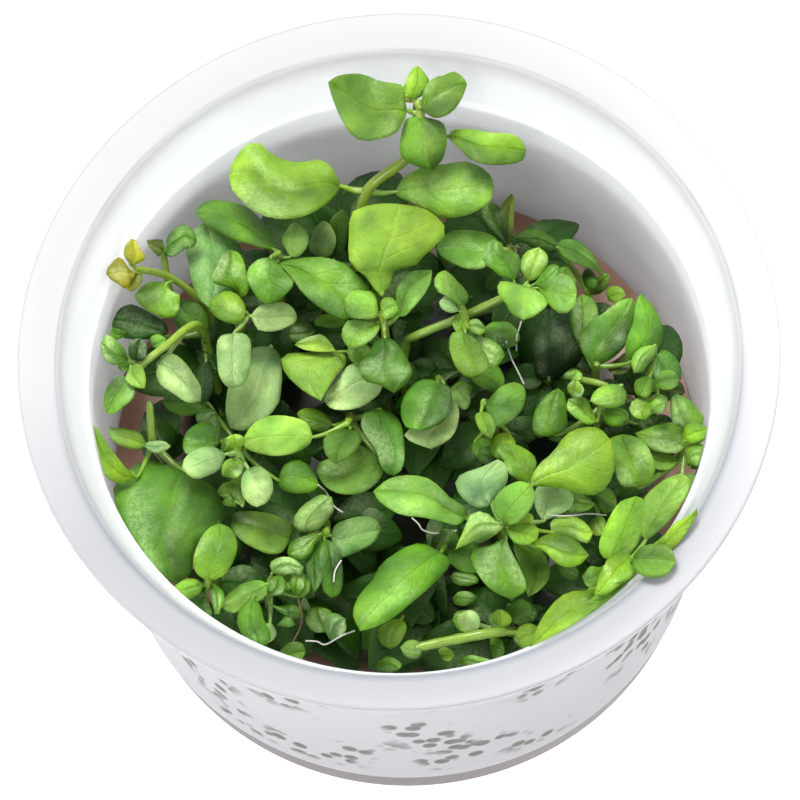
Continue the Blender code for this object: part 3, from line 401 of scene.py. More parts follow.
# Outlines of blades as they look in the picture, in its pixels: the stalk end,
# one edge, the tip, the other edge, both edges read from stalk to tip. Each
# goes with a shoot and the number of its leaf, or with a small leaf.
TRACED = {
    ("far", 0): ((407, 110), [(402, 85), (391, 83), (377, 80), (363, 74), (345, 74), (335, 77)], (328, 82),
        [(405, 118), (397, 132), (377, 140), (359, 140), (351, 134), (345, 126), (337, 110), (331, 94)]),
    ("far", 1): ((420, 108), [(424, 90), (433, 78), (445, 75), (453, 71), (463, 77)], (467, 84),
        [(428, 115), (435, 118), (445, 116), (455, 109), (463, 96)]),
    ("far", 2): ((421, 116), [(407, 118), (402, 130), (400, 142), (400, 154), (407, 162), (421, 168)],
        (433, 170), [(435, 119), (444, 124), (447, 136), (446, 148), (442, 160)]),
    ("far", 3): ((448, 136), [(453, 130), (469, 129), (489, 132), (511, 134), (522, 140)], (526, 150),
        [(450, 140), (459, 148), (473, 161), (491, 165), (511, 164), (523, 160)]),
    ("far", 4): ((395, 192), [(403, 178), (415, 170), (425, 166), (445, 164), (465, 161), (481, 167),
        (491, 176)], (494, 186), [(397, 196), (409, 202), (427, 210), (439, 218), (459, 217), (475, 212),
        (491, 200)]),
    ("far", 5): ((341, 186), [(337, 176), (329, 164), (317, 159), (303, 162), (289, 161), (275, 156),
        (265, 148), (259, 142), (249, 143), (241, 150), (233, 162)], (229, 174), [(339, 190), (333, 198),
        (321, 208), (305, 216), (289, 219), (271, 218), (255, 212), (241, 200), (231, 188)]),
    ("far", 6): ((413, 99), [(402, 95), (407, 78), (413, 68)], (418, 66), [(421, 97), (430, 84), (427, 76),
        (420, 67)]),
    ("back", 0): ((382, 294), [(376, 291), (366, 277), (357, 270), (350, 262), (348, 251), (349, 237),
        (349, 224), (351, 213), (360, 208), (370, 205), (386, 203)], (400, 204), [(388, 288), (391, 282),
        (395, 270), (412, 267), (422, 260), (427, 252), (440, 242), (447, 231), (440, 220), (432, 213),
        (420, 207)]),
    ("left_back", 0): ((275, 250), [(270, 232), (260, 218), (246, 206), (227, 201), (213, 200), (201, 204)],
        (196, 213), [(262, 248), (246, 243), (233, 240), (221, 233), (207, 226)]),
    ("left_back", 1): ((271, 257), [(259, 259), (249, 267), (247, 273), (248, 281), (254, 293), (262, 302)],
        (273, 304), [(276, 262), (283, 270), (289, 276), (294, 283), (289, 291), (281, 299)]),
    ("left_back", 2): ((276, 264), [(284, 261), (296, 258), (310, 257), (324, 257), (339, 261), (349, 266),
        (356, 274), (363, 281), (370, 290), (372, 304)], (362, 318), [(281, 266), (288, 274), (294, 281),
        (300, 290), (309, 299), (320, 308), (330, 314), (341, 319), (350, 319)]),
    ("left_back", 3): ((290, 257), [(284, 246), (281, 240), (285, 232), (291, 224)], (294, 222),
        [(297, 257), (303, 253), (308, 245), (309, 237), (304, 229), (298, 224)]),
    ("back_row", 0): ((322, 257), [(311, 253), (309, 245), (313, 233), (320, 222)], (326, 221), [(330, 256),
        (335, 247), (336, 237), (331, 226)]),
    ("left_wall", 0): ((238, 297), [(230, 288), (213, 283), (213, 274), (217, 266), (221, 257), (226, 251)],
        (231, 250), [(244, 297), (249, 290), (249, 281), (246, 271), (244, 261), (239, 253)]),
    ("left_wall", 1): ((212, 310), [(200, 300), (194, 289), (190, 276), (189, 263), (185, 251), (189, 238),
        (197, 226)], (208, 222), [(225, 300), (236, 285), (243, 268), (243, 250), (236, 240), (222, 232)]),
    ("left_wall", 2): ((246, 312), [(245, 304), (241, 298), (234, 292), (224, 291), (216, 296), (210, 301)],
        (209, 305), [(243, 321), (233, 324), (223, 321), (216, 317), (210, 309)]),
    ("left_wall", 3): ((251, 316), [(254, 311), (262, 304), (280, 302), (287, 303), (294, 309)], (297, 316),
        [(252, 319), (256, 327), (261, 331), (277, 331), (289, 326), (296, 322)]),
    ("left_wall", 4): ((234, 333), [(222, 335), (217, 342), (217, 360), (219, 375), (226, 386)], (234, 388),
        [(243, 333), (250, 339), (251, 352), (250, 370), (244, 384)]),
    ("yellow", 0): ((130, 264), [(124, 256), (124, 250), (126, 244), (131, 239)], (133, 239), [(137, 264),
        (146, 258), (139, 247), (136, 240)]),
    ("yellow", 1): ((133, 272), [(127, 265), (122, 258), (117, 257), (111, 264), (108, 267)], (106, 273),
        [(136, 275), (131, 280), (130, 287), (125, 289), (118, 284), (110, 279)]),
    ("yellow", 2): ((166, 284), [(159, 281), (146, 283), (139, 289), (134, 296), (137, 301), (145, 309)],
        (163, 318), [(172, 291), (179, 294), (180, 301), (178, 311), (174, 317)]),
    ("olive", 0): ((166, 250), [(167, 237), (176, 228), (184, 224), (190, 227), (195, 233)], (197, 241),
        [(167, 256), (172, 257), (180, 253), (184, 249), (193, 248)]),
    ("left", 0): ((158, 364), [(162, 355), (172, 353), (184, 361), (194, 375), (201, 387)], (201, 401),
        [(156, 373), (160, 384), (171, 392), (181, 399), (190, 403)]),
    ("left", 1): ((166, 336), [(168, 331), (166, 323), (155, 315), (142, 308), (130, 304), (119, 309)],
        (113, 320), [(162, 337), (150, 339), (129, 339), (118, 335), (112, 327)]),
    ("left", 2): ((128, 358), [(124, 348), (117, 341), (109, 335), (104, 336)], (101, 343), [(128, 361),
        (121, 363), (113, 365), (104, 359), (101, 350)]),
    ("left", 3): ((136, 361), [(129, 357), (129, 344), (134, 339)], (141, 338), [(143, 361), (147, 353),
        (146, 344)]),
    ("left", 4): ((131, 378), [(124, 376), (117, 376), (111, 381), (106, 389), (104, 397), (104, 407)],
        (107, 414), [(135, 389), (133, 399), (124, 406), (117, 413)]),
    ("left_low", 0): ((188, 476), [(160, 462), (138, 463), (118, 480), (111, 498), (113, 518), (122, 542),
        (137, 562), (155, 578)], (178, 583), [(206, 481), (219, 495), (226, 515), (218, 528), (200, 540),
        (193, 555), (192, 572)]),
    ("left_low", 1): ((137, 477), [(123, 484), (110, 480), (100, 473), (95, 464), (92, 450), (91, 436)],
        (92, 424), [(127, 469), (119, 459), (109, 446), (99, 430)]),
    ("left_low", 2): ((147, 444), [(140, 433), (129, 429), (120, 428)], (109, 427), [(139, 449), (127, 448),
        (116, 444), (109, 436)]),
    ("left_mid", 0): ((226, 454), [(219, 449), (211, 446), (201, 447), (190, 453), (184, 459)], (182, 468),
        [(224, 460), (219, 470), (207, 476), (197, 479), (189, 476)]),
    ("left_mid", 1): ((221, 441), [(219, 430), (210, 422), (198, 423), (188, 430)], (183, 440), [(217, 447),
        (206, 452), (195, 456), (184, 452)]),
    ("left_mid", 2): ((248, 468), [(243, 474), (241, 485), (243, 496), (250, 504)], (257, 507), [(258, 466),
        (268, 472), (273, 483), (272, 494), (266, 503)]),
    ("left_mid", 3): ((278, 480), [(283, 466), (293, 460), (303, 461), (311, 468), (316, 476)], (319, 484),
        [(281, 489), (293, 493), (305, 493), (315, 490)]),
    ("left_dark", 0): ((271, 346), [(252, 348), (238, 360), (230, 380), (226, 400), (226, 416)], (230, 428),
        [(280, 355), (282, 375), (281, 392), (276, 408), (258, 424), (243, 431)]),
    ("left_front", 0): ((208, 581), [(197, 574), (193, 563), (196, 549), (202, 536), (210, 527)],
        (219, 523), [(222, 577), (231, 566), (237, 550), (236, 536), (229, 527)]),
    ("left_front", 1): ((228, 521), [(236, 512), (252, 511), (268, 513), (283, 518), (293, 527)],
        (291, 540), [(233, 531), (242, 541), (256, 549), (269, 554), (282, 552)]),
    ("left_front", 2): ((206, 588), [(198, 582), (188, 581), (178, 587)], (172, 592), [(203, 598),
        (192, 601), (181, 599)]),
    ("left_front", 3): ((205, 594), [(196, 598), (188, 605), (197, 616)], (209, 621), [(208, 602),
        (212, 612)]),
    ("middle", 0): ((385, 337), [(375, 341), (370, 352), (360, 363), (359, 373), (367, 382), (378, 384),
        (387, 389)], (394, 393), [(394, 340), (402, 350), (409, 362), (412, 373), (408, 382), (401, 388)]),
    ("middle", 1): ((378, 322), [(360, 320), (349, 319), (344, 326), (341, 333), (344, 342)], (350, 349),
        [(380, 327), (377, 334), (370, 341), (362, 346)]),
    ("middle", 2): ((398, 316), [(396, 302), (397, 287), (409, 273), (419, 270)], (432, 270), [(405, 316),
        (412, 309), (420, 300), (427, 290), (431, 281)]),
    ("middle", 3): ((384, 376), [(370, 372), (355, 363), (344, 369), (336, 380), (328, 390)], (324, 400),
        [(381, 391), (372, 400), (358, 408), (340, 410), (329, 407)]),
    ("middle", 4): ((338, 352), [(325, 350), (310, 352), (290, 353), (281, 357), (284, 371), (292, 381),
        (305, 392)], (321, 401), [(346, 356), (345, 366), (337, 375), (329, 387)]),
    ("middle", 5): ((376, 308), [(377, 300), (373, 292), (366, 291), (357, 290), (349, 293)], (344, 301),
        [(378, 316), (371, 319), (360, 319), (350, 317), (344, 310)]),
    ("centre", 0): ((438, 381), [(424, 379), (410, 387), (402, 402), (401, 416), (406, 427)], (420, 430),
        [(450, 387), (452, 402), (447, 418), (434, 427)]),
    ("centre", 1): ((452, 394), [(440, 404), (425, 418), (412, 427), (404, 435), (412, 442)], (431, 449),
        [(458, 406), (459, 418), (455, 432), (446, 442)]),
    ("centre_left", 0): ((380, 409), [(364, 413), (361, 426), (367, 438), (377, 452), (380, 464),
        (386, 473)], (394, 476), [(392, 413), (401, 423), (404, 440), (405, 455), (402, 469)]),
    ("centre_left", 1): ((313, 437), [(308, 424), (297, 418), (280, 415), (265, 417), (252, 425)],
        (242, 440), [(308, 446), (294, 453), (275, 456), (258, 453), (245, 448)]),
    ("centre_left", 2): ((350, 429), [(337, 429), (326, 434), (323, 446), (326, 455), (331, 461)],
        (336, 464), [(360, 432), (361, 443), (355, 451), (346, 459)]),
    ("centre_left", 3): ((384, 462), [(375, 454), (360, 445), (345, 455), (332, 458), (320, 462)],
        (316, 472), [(382, 476), (372, 487), (358, 494), (341, 494), (326, 487)]),
    ("front_mid", 0): ((309, 533), [(296, 530), (293, 520), (300, 508), (311, 499), (322, 494)], (332, 497),
        [(318, 530), (328, 520), (334, 509)]),
    ("front_mid", 1): ((331, 536), [(335, 525), (348, 519), (362, 516), (375, 519)], (382, 529),
        [(333, 549), (340, 558), (352, 554), (365, 548), (376, 540)]),
    ("front_mid", 2): ((324, 538), [(319, 555), (320, 575), (323, 590)], (331, 598), [(336, 545),
        (342, 562), (343, 582), (340, 594)]),
    ("front_mid", 4): ((320, 534), [(314, 533), (301, 537), (290, 543)], (287, 553), [(314, 546),
        (310, 556), (301, 560), (293, 559)]),
    ("front_left", 0): ((268, 584), [(260, 580), (249, 581), (236, 587), (226, 596)], (221, 604),
        [(267, 594), (260, 601), (247, 606), (236, 613), (225, 610)]),
    ("front_left", 1): ((253, 597), [(241, 606), (237, 620), (240, 631), (250, 643)], (259, 647),
        [(261, 606), (264, 620), (270, 631), (270, 642)]),
    ("front_left", 2): ((268, 603), [(279, 606), (293, 604), (301, 609)], (304, 617), [(297, 626),
        (286, 627), (274, 623)]),
    ("front_left", 3): ((272, 573), [(270, 563), (280, 557), (293, 558)], (304, 567), [(282, 575),
        (293, 573), (300, 575)]),
    ("front", 0): ((441, 552), [(430, 546), (418, 543), (404, 548), (388, 558), (380, 564), (375, 577),
        (362, 591), (355, 603), (353, 616)], (360, 631), [(451, 561), (446, 571), (434, 583), (422, 594),
        (410, 604), (398, 614), (386, 622), (372, 628)]),
    ("front", 2): ((402, 618), [(390, 620), (379, 627), (377, 637), (382, 645)], (391, 649), [(407, 626),
        (404, 636), (398, 645)]),
    ("front_star", 0): ((492, 504), [(482, 508), (471, 505), (460, 495), (455, 483), (461, 474), (472, 470),
        (483, 466)], (498, 459), [(495, 497), (503, 490), (508, 478), (506, 465)]),
    ("front_star", 1): ((502, 522), [(494, 512), (493, 502), (500, 491), (510, 484), (521, 481)],
        (532, 485), [(511, 525), (522, 519), (531, 508), (535, 495)]),
    ("front_star", 2): ((467, 518), [(466, 508), (450, 497), (438, 485), (425, 477), (405, 475),
        (388, 479)], (373, 491), [(457, 525), (440, 521), (420, 517), (402, 515), (388, 508), (379, 501)]),
    ("front_star", 3): ((506, 536), [(490, 545), (473, 549), (471, 558), (476, 571), (486, 585),
        (498, 594)], (512, 599), [(510, 548), (517, 562), (524, 577), (526, 590)]),
    ("front_star", 4): ((531, 545), [(541, 537), (553, 533), (564, 534), (576, 540), (584, 549)],
        (589, 555), [(536, 547), (544, 551), (553, 560), (561, 566), (571, 567), (581, 564)]),
    ("front_star", 5): ((531, 486), [(531, 477), (541, 462), (553, 452), (561, 440), (571, 431), (585, 427),
        (599, 428)], (611, 440), [(548, 487), (565, 489), (582, 494), (598, 494), (611, 480), (615, 460)]),
    ("front_star", 6): ((543, 521), [(536, 510), (534, 497), (537, 487), (548, 484)], (562, 486),
        [(555, 516), (569, 509), (574, 499), (570, 491)]),
    ("front_star", 7): ((505, 523), [(496, 520), (489, 514), (477, 511), (470, 515), (464, 529),
        (459, 540)], (455, 550), [(502, 529), (492, 537), (480, 540), (467, 544)]),
    ("front_star", 8): ((507, 527), [(519, 523), (530, 523), (539, 529)], (537, 540), [(509, 536),
        (516, 543), (527, 545)]),
    ("rim_shoot", 0): ((612, 562), [(601, 555), (599, 542), (605, 527), (612, 512), (621, 501)], (636, 496),
        [(628, 556), (639, 541), (646, 522), (648, 508), (645, 500)]),
    ("rim_shoot", 1): ((645, 541), [(640, 528), (644, 512), (643, 500), (652, 489), (667, 478)], (682, 473),
        [(655, 534), (668, 522), (679, 508), (688, 492), (690, 480)]),
    ("rim_shoot", 2): ((645, 549), [(654, 543), (666, 533), (674, 523), (686, 517)], (697, 508),
        [(657, 553), (670, 551), (680, 542), (690, 527), (697, 516)]),
    ("rim_shoot", 3): ((622, 572), [(604, 582), (588, 590), (571, 591), (557, 599), (546, 612), (537, 627)],
        (529, 648), [(630, 587), (619, 597), (603, 609), (586, 621), (568, 631), (548, 641)]),
    ("rim_shoot", 4): ((632, 558), [(640, 547), (653, 544), (665, 545), (673, 551)], (676, 561),
        [(635, 571), (647, 577), (662, 577), (671, 570)]),
    ("rim_shoot", 6): ((605, 566), [(598, 567), (590, 566)], (582, 576), [(600, 582), (591, 588),
        (585, 584)]),
    ("right_back", 0): ((498, 247), [(496, 238), (484, 232), (468, 230), (452, 231), (441, 239)],
        (436, 248), [(494, 256), (484, 268), (468, 269), (452, 263), (441, 256)]),
    ("right_back", 1): ((509, 247), [(503, 235), (500, 222), (500, 210), (504, 201)], (512, 193),
        [(513, 232), (514, 215), (515, 201)]),
    ("right_back", 2): ((508, 247), [(494, 233), (484, 220), (481, 211), (484, 205)], (491, 202),
        [(509, 230), (504, 216), (499, 206)]),
    ("right_back", 3): ((514, 247), [(510, 238), (519, 232), (530, 229), (541, 231), (553, 238)],
        (560, 247), [(521, 241), (530, 247), (543, 249), (553, 254)]),
    ("right_thin", 0): ((557, 247), [(559, 241), (567, 239), (577, 240), (586, 247), (593, 254),
        (600, 266)], (603, 276), [(561, 253), (567, 260), (577, 264), (584, 267), (594, 270)]),
    ("crossing", 0): ((537, 288), [(541, 281), (551, 277), (561, 273), (570, 277), (575, 284)], (577, 291),
        [(544, 298), (551, 307), (559, 313), (567, 313), (573, 308), (576, 300)]),
    ("crossing", 1): ((524, 287), [(516, 283), (501, 281), (497, 287), (499, 294), (506, 304), (511, 313)],
        (523, 320), [(529, 289), (537, 290), (548, 303), (541, 311), (533, 317)]),
    ("crossing", 2): ((528, 281), [(526, 280), (521, 270), (521, 260), (527, 251)], (539, 247), [(536, 279),
        (544, 270), (548, 261), (547, 254)]),
    ("crossing", 3): ((533, 285), [(540, 276), (547, 267), (553, 264)], (559, 266), [(546, 286), (556, 280),
        (560, 273)]),
    ("crossing", 4): ((514, 281), [(500, 276), (491, 268), (482, 262), (484, 250), (486, 243)], (494, 239),
        [(520, 274), (521, 262), (517, 253), (505, 250), (502, 243)]),
    ("kidney", 0): ((465, 331), [(452, 333), (449, 345), (452, 358), (457, 369), (465, 376)], (474, 378),
        [(475, 338), (484, 350), (489, 362), (485, 373)]),
    ("kidney", 1): ((470, 333), [(480, 336), (491, 339), (500, 346)], (505, 354), [(472, 345), (480, 357),
        (488, 364), (495, 367), (502, 361)]),
    ("kidney", 2): ((463, 307), [(455, 303), (446, 296), (436, 290), (434, 280), (438, 273)], (445, 270),
        [(469, 299), (466, 290), (459, 283), (452, 275)]),
    ("right_mid", 0): ((485, 404), [(491, 396), (500, 387), (512, 382), (522, 385), (526, 393)], (525, 402),
        [(487, 413), (494, 428), (506, 424), (517, 416), (523, 408)]),
    ("right_mid", 1): ((481, 411), [(475, 415), (477, 425), (483, 434)], (491, 439), [(489, 413),
        (495, 423), (495, 431)]),
    ("right_small", 0): ((622, 385), [(612, 384), (600, 387), (593, 393)], (590, 401), [(627, 394),
        (624, 404), (612, 408), (598, 406)]),
    ("right_small", 1): ((597, 421), [(592, 409), (587, 399), (579, 396)], (568, 399), [(590, 425),
        (580, 421), (571, 414), (566, 407)]),
    ("right_small", 2): ((556, 435), [(545, 437), (536, 435), (532, 427), (534, 413), (541, 401),
        (550, 392)], (558, 388), [(567, 428), (567, 415), (566, 402), (564, 393)]),
    ("right", 0): ((594, 366), [(582, 352), (580, 335), (590, 321), (601, 315), (612, 306), (624, 299)],
        (633, 298), [(608, 361), (621, 351), (628, 340), (633, 325), (636, 310)]),
    ("right", 1): ((630, 362), [(625, 352), (627, 338), (633, 322), (635, 306)], (640, 293), [(640, 356),
        (657, 349), (664, 336), (660, 320), (652, 304)]),
    ("right", 2): ((584, 350), [(574, 335), (570, 318), (573, 303)], (581, 294), [(590, 340), (597, 325),
        (598, 310), (592, 298)]),
    ("right_wall", 0): ((657, 355), [(664, 349), (674, 356), (681, 367)], (681, 379), [(653, 364),
        (654, 376), (660, 386), (672, 388)]),
    ("right_wall", 1): ((655, 345), [(645, 346), (635, 352), (631, 362)], (634, 373), [(655, 355),
        (648, 364), (643, 372)]),
    ("right_wall", 2): ((658, 393), [(645, 396), (633, 400), (629, 409), (634, 417)], (645, 420),
        [(667, 397), (666, 408), (655, 412)]),
    ("right_rim", 0): ((690, 431), [(681, 428), (672, 421), (670, 408), (671, 398)], (677, 394),
        [(700, 427), (705, 420), (698, 409), (689, 399)]),
    ("right_rim", 1): ((687, 446), [(684, 430), (674, 422), (660, 424), (645, 429)], (635, 433),
        [(680, 452), (667, 453), (653, 450), (641, 441)]),
    ("right_rim", 2): ((640, 487), [(622, 486), (615, 472), (609, 458), (607, 446), (610, 438)], (622, 434),
        [(651, 484), (655, 468), (651, 453), (644, 442), (634, 436)]),
    ("", 2): ((162, 247), [(163, 240), (156, 239)], (147, 240), [(160, 257), (153, 251), (148, 245)]),
    ("", 3): ((131, 366), [(138, 363), (144, 370), (146, 381)], (145, 388), [(125, 378), (131, 385),
        (138, 388)]),
    ("", 4): ((143, 445), [(151, 441), (164, 441)], (171, 446), [(154, 453), (166, 450)]),
    ("", 10): ((381, 312), [(380, 303), (385, 297), (393, 298)], (398, 305), [(385, 319), (392, 318),
        (398, 312)]),
    ("", 11): ((460, 311), [(454, 301), (446, 295)], (439, 302), [(450, 313), (441, 308)]),
    ("", 12): ((468, 327), [(470, 320), (478, 319), (484, 325)], (486, 329), [(471, 332), (479, 335),
        (484, 333)]),
    ("", 20): ((423, 648), [(418, 641), (408, 640)], (400, 647), [(420, 656), (412, 659), (404, 655)]),
    ("", 22): ((514, 540), [(514, 550), (519, 565), (523, 582)], (528, 597), [(530, 546), (541, 549),
        (549, 564), (549, 578), (540, 590)]),
    ("", 23): ((551, 532), [(551, 521), (561, 516), (574, 516), (586, 523)], (593, 533), [(560, 534),
        (571, 537), (580, 541), (588, 543)]),
    ("", 24): ((529, 484), [(536, 470), (535, 457), (524, 448), (510, 443)], (498, 445), [(518, 480),
        (508, 472), (503, 460), (498, 452)]),
    ("", 31): ((334, 425), [(325, 413), (312, 408), (302, 409)], (297, 413), [(325, 432), (310, 431),
        (300, 424)]),
    ("", 43): ((243, 505), [(241, 490), (232, 482), (222, 484)], (216, 494), [(218, 503), (228, 506),
        (237, 506)]),
}


# Further leaves between those, each outline once round from the stalk end,
# with its height and colour
FILLING = [
    ((630, 554), [(616, 555), (604, 565), (598, 580)], (594, 594), [(606, 594), (626, 580), (635, 566)],
        57.6, "lime"),
    ((642, 570), [(628, 570), (610, 582), (598, 592)], (588, 602), [(606, 606), (624, 594), (637, 583)],
        56.0, "fresh"),
    ((345, 364), [(338, 352), (322, 352), (305, 350), (297, 346)], (294, 345), [(300, 340), (312, 336),
        (325, 336)], 45.0, "spring"),
    ((352, 342), [(347, 350), (350, 360), (360, 366)], (368, 358), [(372, 350), (364, 343)], 43.0, "fresh"),
    ((345, 316), [(330, 314), (318, 316), (314, 324)], (322, 327), [(334, 328), (344, 325)], 42.0, "mid"),
    ((288, 334), [(290, 326), (300, 322), (310, 324)], (316, 330), [(312, 340), (300, 344), (290, 340)],
        41.5, "mid"),
    ((208, 434), [(196, 420), (200, 410), (212, 408)], (218, 414), [(221, 426), (219, 434)], 43.5, "deep"),
    ((221, 452), [(221, 444), (224, 438), (232, 437)], (240, 441), [(239, 448), (232, 451)], 47.2, "mid"),
    ((228, 455), [(234, 458), (236, 452)], (241, 450), [(240, 457), (234, 461)], 47.4, "fresh"),
    ((222, 476), [(222, 466), (228, 459), (238, 458)], (245, 463), [(243, 472), (235, 478)], 45.5,
        "spring"),
    ((230, 498), [(228, 488), (231, 480), (240, 478)], (243, 484), [(242, 494), (236, 500)], 42.5, "mid"),
    ((152, 346), [(150, 338), (158, 334)], (166, 338), [(165, 348), (158, 350)], 49.5, "fresh"),
    ((118, 368), [(117, 362), (124, 360)], (132, 362), [(130, 370), (122, 371)], 50.0, "fresh"),
    ((127, 336), [(114, 340), (110, 334)], (112, 327), [(120, 329), (126, 331)], 47.5, "mid"),
    ((196, 352), [(198, 362), (205, 372), (214, 376)], (219, 370), [(214, 360), (206, 351)], 43.0, "dark"),
    ((268, 594), [(278, 596), (285, 588), (284, 578)], (277, 575), [(270, 580), (268, 588)], 46.0, "mid"),
    ((294, 596), [(290, 584), (292, 574), (298, 570)], (305, 574), [(304, 586), (300, 594)], 45.5, "mid"),
    ((322, 530), [(312, 545), (306, 560), (308, 580)], (315, 592), [(322, 580), (322, 560), (324, 545)],
        43.0, "deep"),
    ((318, 606), [(308, 610), (306, 622), (314, 632)], (328, 632), [(336, 622), (330, 610)], 41.0, "mid"),
    ((330, 640), [(324, 628), (326, 616), (336, 613)], (346, 619), [(346, 630), (340, 638)], 42.0, "grey"),
    ((276, 660), [(280, 650), (290, 642), (302, 643)], (306, 652), [(300, 661), (288, 664)], 41.0, "mid"),
    ((376, 664), [(386, 656), (398, 660), (402, 666)], (396, 671), [(386, 672), (378, 670)], 41.5, "mid"),
    ((440, 656), [(438, 650), (444, 647), (452, 650)], (454, 656), [(450, 661), (444, 660)], 42.0, "fresh"),
    ((458, 662), [(468, 655), (482, 657), (494, 662)], (486, 667), [(472, 668)], 42.0, "mid"),
    ((490, 646), [(490, 638), (497, 636), (503, 642)], (505, 652), [(498, 660), (492, 656)], 41.5, "mid"),
    ((490, 624), [(488, 616), (494, 612), (500, 615)], (502, 624), [(498, 630), (493, 629)], 43.5, "grey"),
    ((452, 620), [(456, 612), (466, 610), (476, 614)], (479, 622), [(472, 631), (460, 631)], 42.5, "fresh"),
    ((452, 598), [(458, 592), (468, 591), (476, 596)], (474, 602), [(464, 606), (455, 604)], 42.0, "mid"),
    ((450, 576), [(456, 570), (468, 572), (478, 577)], (478, 583), [(466, 586), (454, 583)], 42.0, "mid"),
    ((510, 602), [(514, 612), (520, 622), (532, 622)], (538, 614), [(532, 604), (520, 600)], 43.0, "deep"),
    ((541, 628), [(530, 628), (518, 632), (514, 640)], (520, 647), [(532, 650), (540, 644)], 44.0, "mid"),
    ((556, 560), [(558, 570), (566, 578), (576, 580)], (580, 572), [(574, 564), (566, 560)], 42.0, "deep"),
    ((596, 516), [(590, 522), (590, 532), (598, 536)], (606, 532), [(606, 522), (602, 516)], 45.0,
        "spring"),
    ((560, 500), [(562, 492), (572, 490), (582, 494)], (596, 504), [(588, 510), (574, 512), (564, 508)],
        45.0, "fresh"),
    ((596, 492), [(604, 494), (612, 500), (614, 508)], (606, 514), [(598, 508), (594, 500)], 43.5, "mid"),
    ((474, 452), [(480, 448), (490, 447), (498, 452)], (500, 460), [(490, 464), (480, 462)], 43.0, "deep"),
    ((470, 334), [(462, 338), (455, 330), (452, 322)], (456, 314), [(464, 316), (470, 325)], 48.5,
        "spring"),
    ((455, 385), [(452, 396), (458, 406), (466, 410)], (471, 402), [(470, 392), (464, 384)], 42.0, "grey"),
    ((480, 376), [(486, 370), (494, 372), (501, 380)], (503, 388), [(494, 390), (486, 384)], 41.5, "dark"),
    ((573, 384), [(572, 392), (576, 397)], (581, 397), [(584, 390), (580, 383)], 48.5, "pale"),
    ((570, 380), [(564, 378), (566, 372)], (576, 369), [(582, 374), (580, 380)], 49.0, "fresh"),
    ((604, 414), [(612, 408), (624, 409), (629, 415)], (628, 424), [(616, 427), (606, 424)], 44.0, "fresh"),
    ((655, 385), [(657, 376), (664, 370), (674, 371)], (680, 379), [(676, 387), (664, 390)], 49.0, "fresh"),
    ((650, 412), [(652, 402), (658, 399)], (666, 402), [(665, 410), (658, 414)], 48.4, "spring"),
    ((628, 424), [(632, 416), (646, 420), (660, 414)], (668, 416), [(664, 424), (650, 432), (636, 432)],
        42.5, "deep"),
    ((648, 458), [(652, 452), (662, 453), (672, 455)], (680, 460), [(672, 468), (660, 470), (652, 466)],
        44.0, "fresh"),
    ((684, 437), [(684, 428), (690, 423), (700, 424)], (708, 427), [(706, 436), (698, 442), (690, 443)],
        50.0, "lime"),
    ((686, 462), [(688, 448), (696, 443), (706, 446)], (711, 455), [(706, 463), (696, 466)], 49.0, "lime"),
    ((682, 474), [(690, 476), (700, 480), (704, 488)], (702, 498), [(692, 500), (684, 494)], 49.5, "grey"),
    ((575, 292), [(566, 286), (558, 276), (560, 268)], (568, 266), [(572, 274), (578, 284)], 43.0, "mid"),
    ((585, 286), [(582, 276), (586, 268), (592, 270)], (598, 280), [(594, 290)], 42.0, "deep"),
    ((608, 300), [(606, 292), (612, 286), (622, 288)], (626, 296), [(618, 304)], 41.5, "lime"),
    ((606, 366), [(618, 358), (626, 352), (632, 356)], (634, 366), [(624, 374), (612, 374)], 42.0, "olive"),
    ((262, 448), [(252, 444), (246, 448)], (244, 456), [(252, 462), (260, 458)], 41.0, "deep"),
]


def along_sight(x, y, z):
    # The point at height z seen through sheet point x, y
    reach = (EYE.z - z) / (EYE.z - CANOPY)
    return EYE + (Vector((x, y, CANOPY)) - EYE) * reach


def seen_at(pixel, z):
    # The point at height z behind a pixel of the picture
    right = pixel[0] - CENTRE
    low = pixel[1] - CENTRE
    across = math.cos(ROLL) * right + math.sin(ROLL) * low
    down = math.cos(ROLL) * low - math.sin(ROLL) * right
    aim = Vector((across, FOCAL * math.cos(TILT) - down * math.sin(TILT),
                  -FOCAL * math.sin(TILT) - down * math.cos(TILT)))
    return EYE + aim * ((z - EYE.z) / aim.z)


def sink(point, drop):
    # Lower a point by drop along its own line of sight
    away = point - EYE
    return EYE + away * ((EYE.z - point.z + drop) / (EYE.z - point.z))


def stem_path(foot, seen):
    deep = Vector((foot[0], foot[1], GEL_TOP - ROOT_DEPTH))
    surface = Vector((foot[0], foot[1], GEL_TOP + 1.0))
    rise = [along_sight(*point) for point in seen]
    middle = surface.lerp(rise[0], 0.6) + (rise[0] - rise[-1]) * STEM_BOW
    return [deep, surface, middle] + rise


def nearest_on_path(path, place):
    best = path[0]
    for a, b in zip(path, path[1:]):
        for k in range(5):
            point = a.lerp(b, k / 4)
            if point.z <= place.z - 0.2 and (point - place).length < (best - place).length:
                best = point
    return best


def leaf_axes(leaf, drop):
    # Base, tip, and the directions along, across and out of a blade
    x0, y0, x1, y1, z0, z1 = leaf[:6]
    base = sink(along_sight(x0, y0, z0), drop)
    tip = sink(along_sight(x1, y1, z1), drop)
    axis = (tip - base).normalized()
    side = axis.cross(Vector((0, 0, 1))).normalized()
    normal = side.cross(axis)
    turn = math.radians(leaf[8])
    side, normal = (side * math.cos(turn) + normal * math.sin(turn),
                    normal * math.cos(turn) - side * math.sin(turn))
    return base, tip, side, normal


def half_width(leaf, t):
    a, b = FORMS[leaf[7]]
    peak = a / (a + b)
    most = peak ** a * (1 - peak) ** b
    return max(leaf[6] / 2 * t ** a * (1 - t) ** b / most, PETIOLE + (TIP - PETIOLE) * t)


def leaf_area(leaf):
    return math.hypot(leaf[2] - leaf[0], leaf[3] - leaf[1]) * leaf[6]


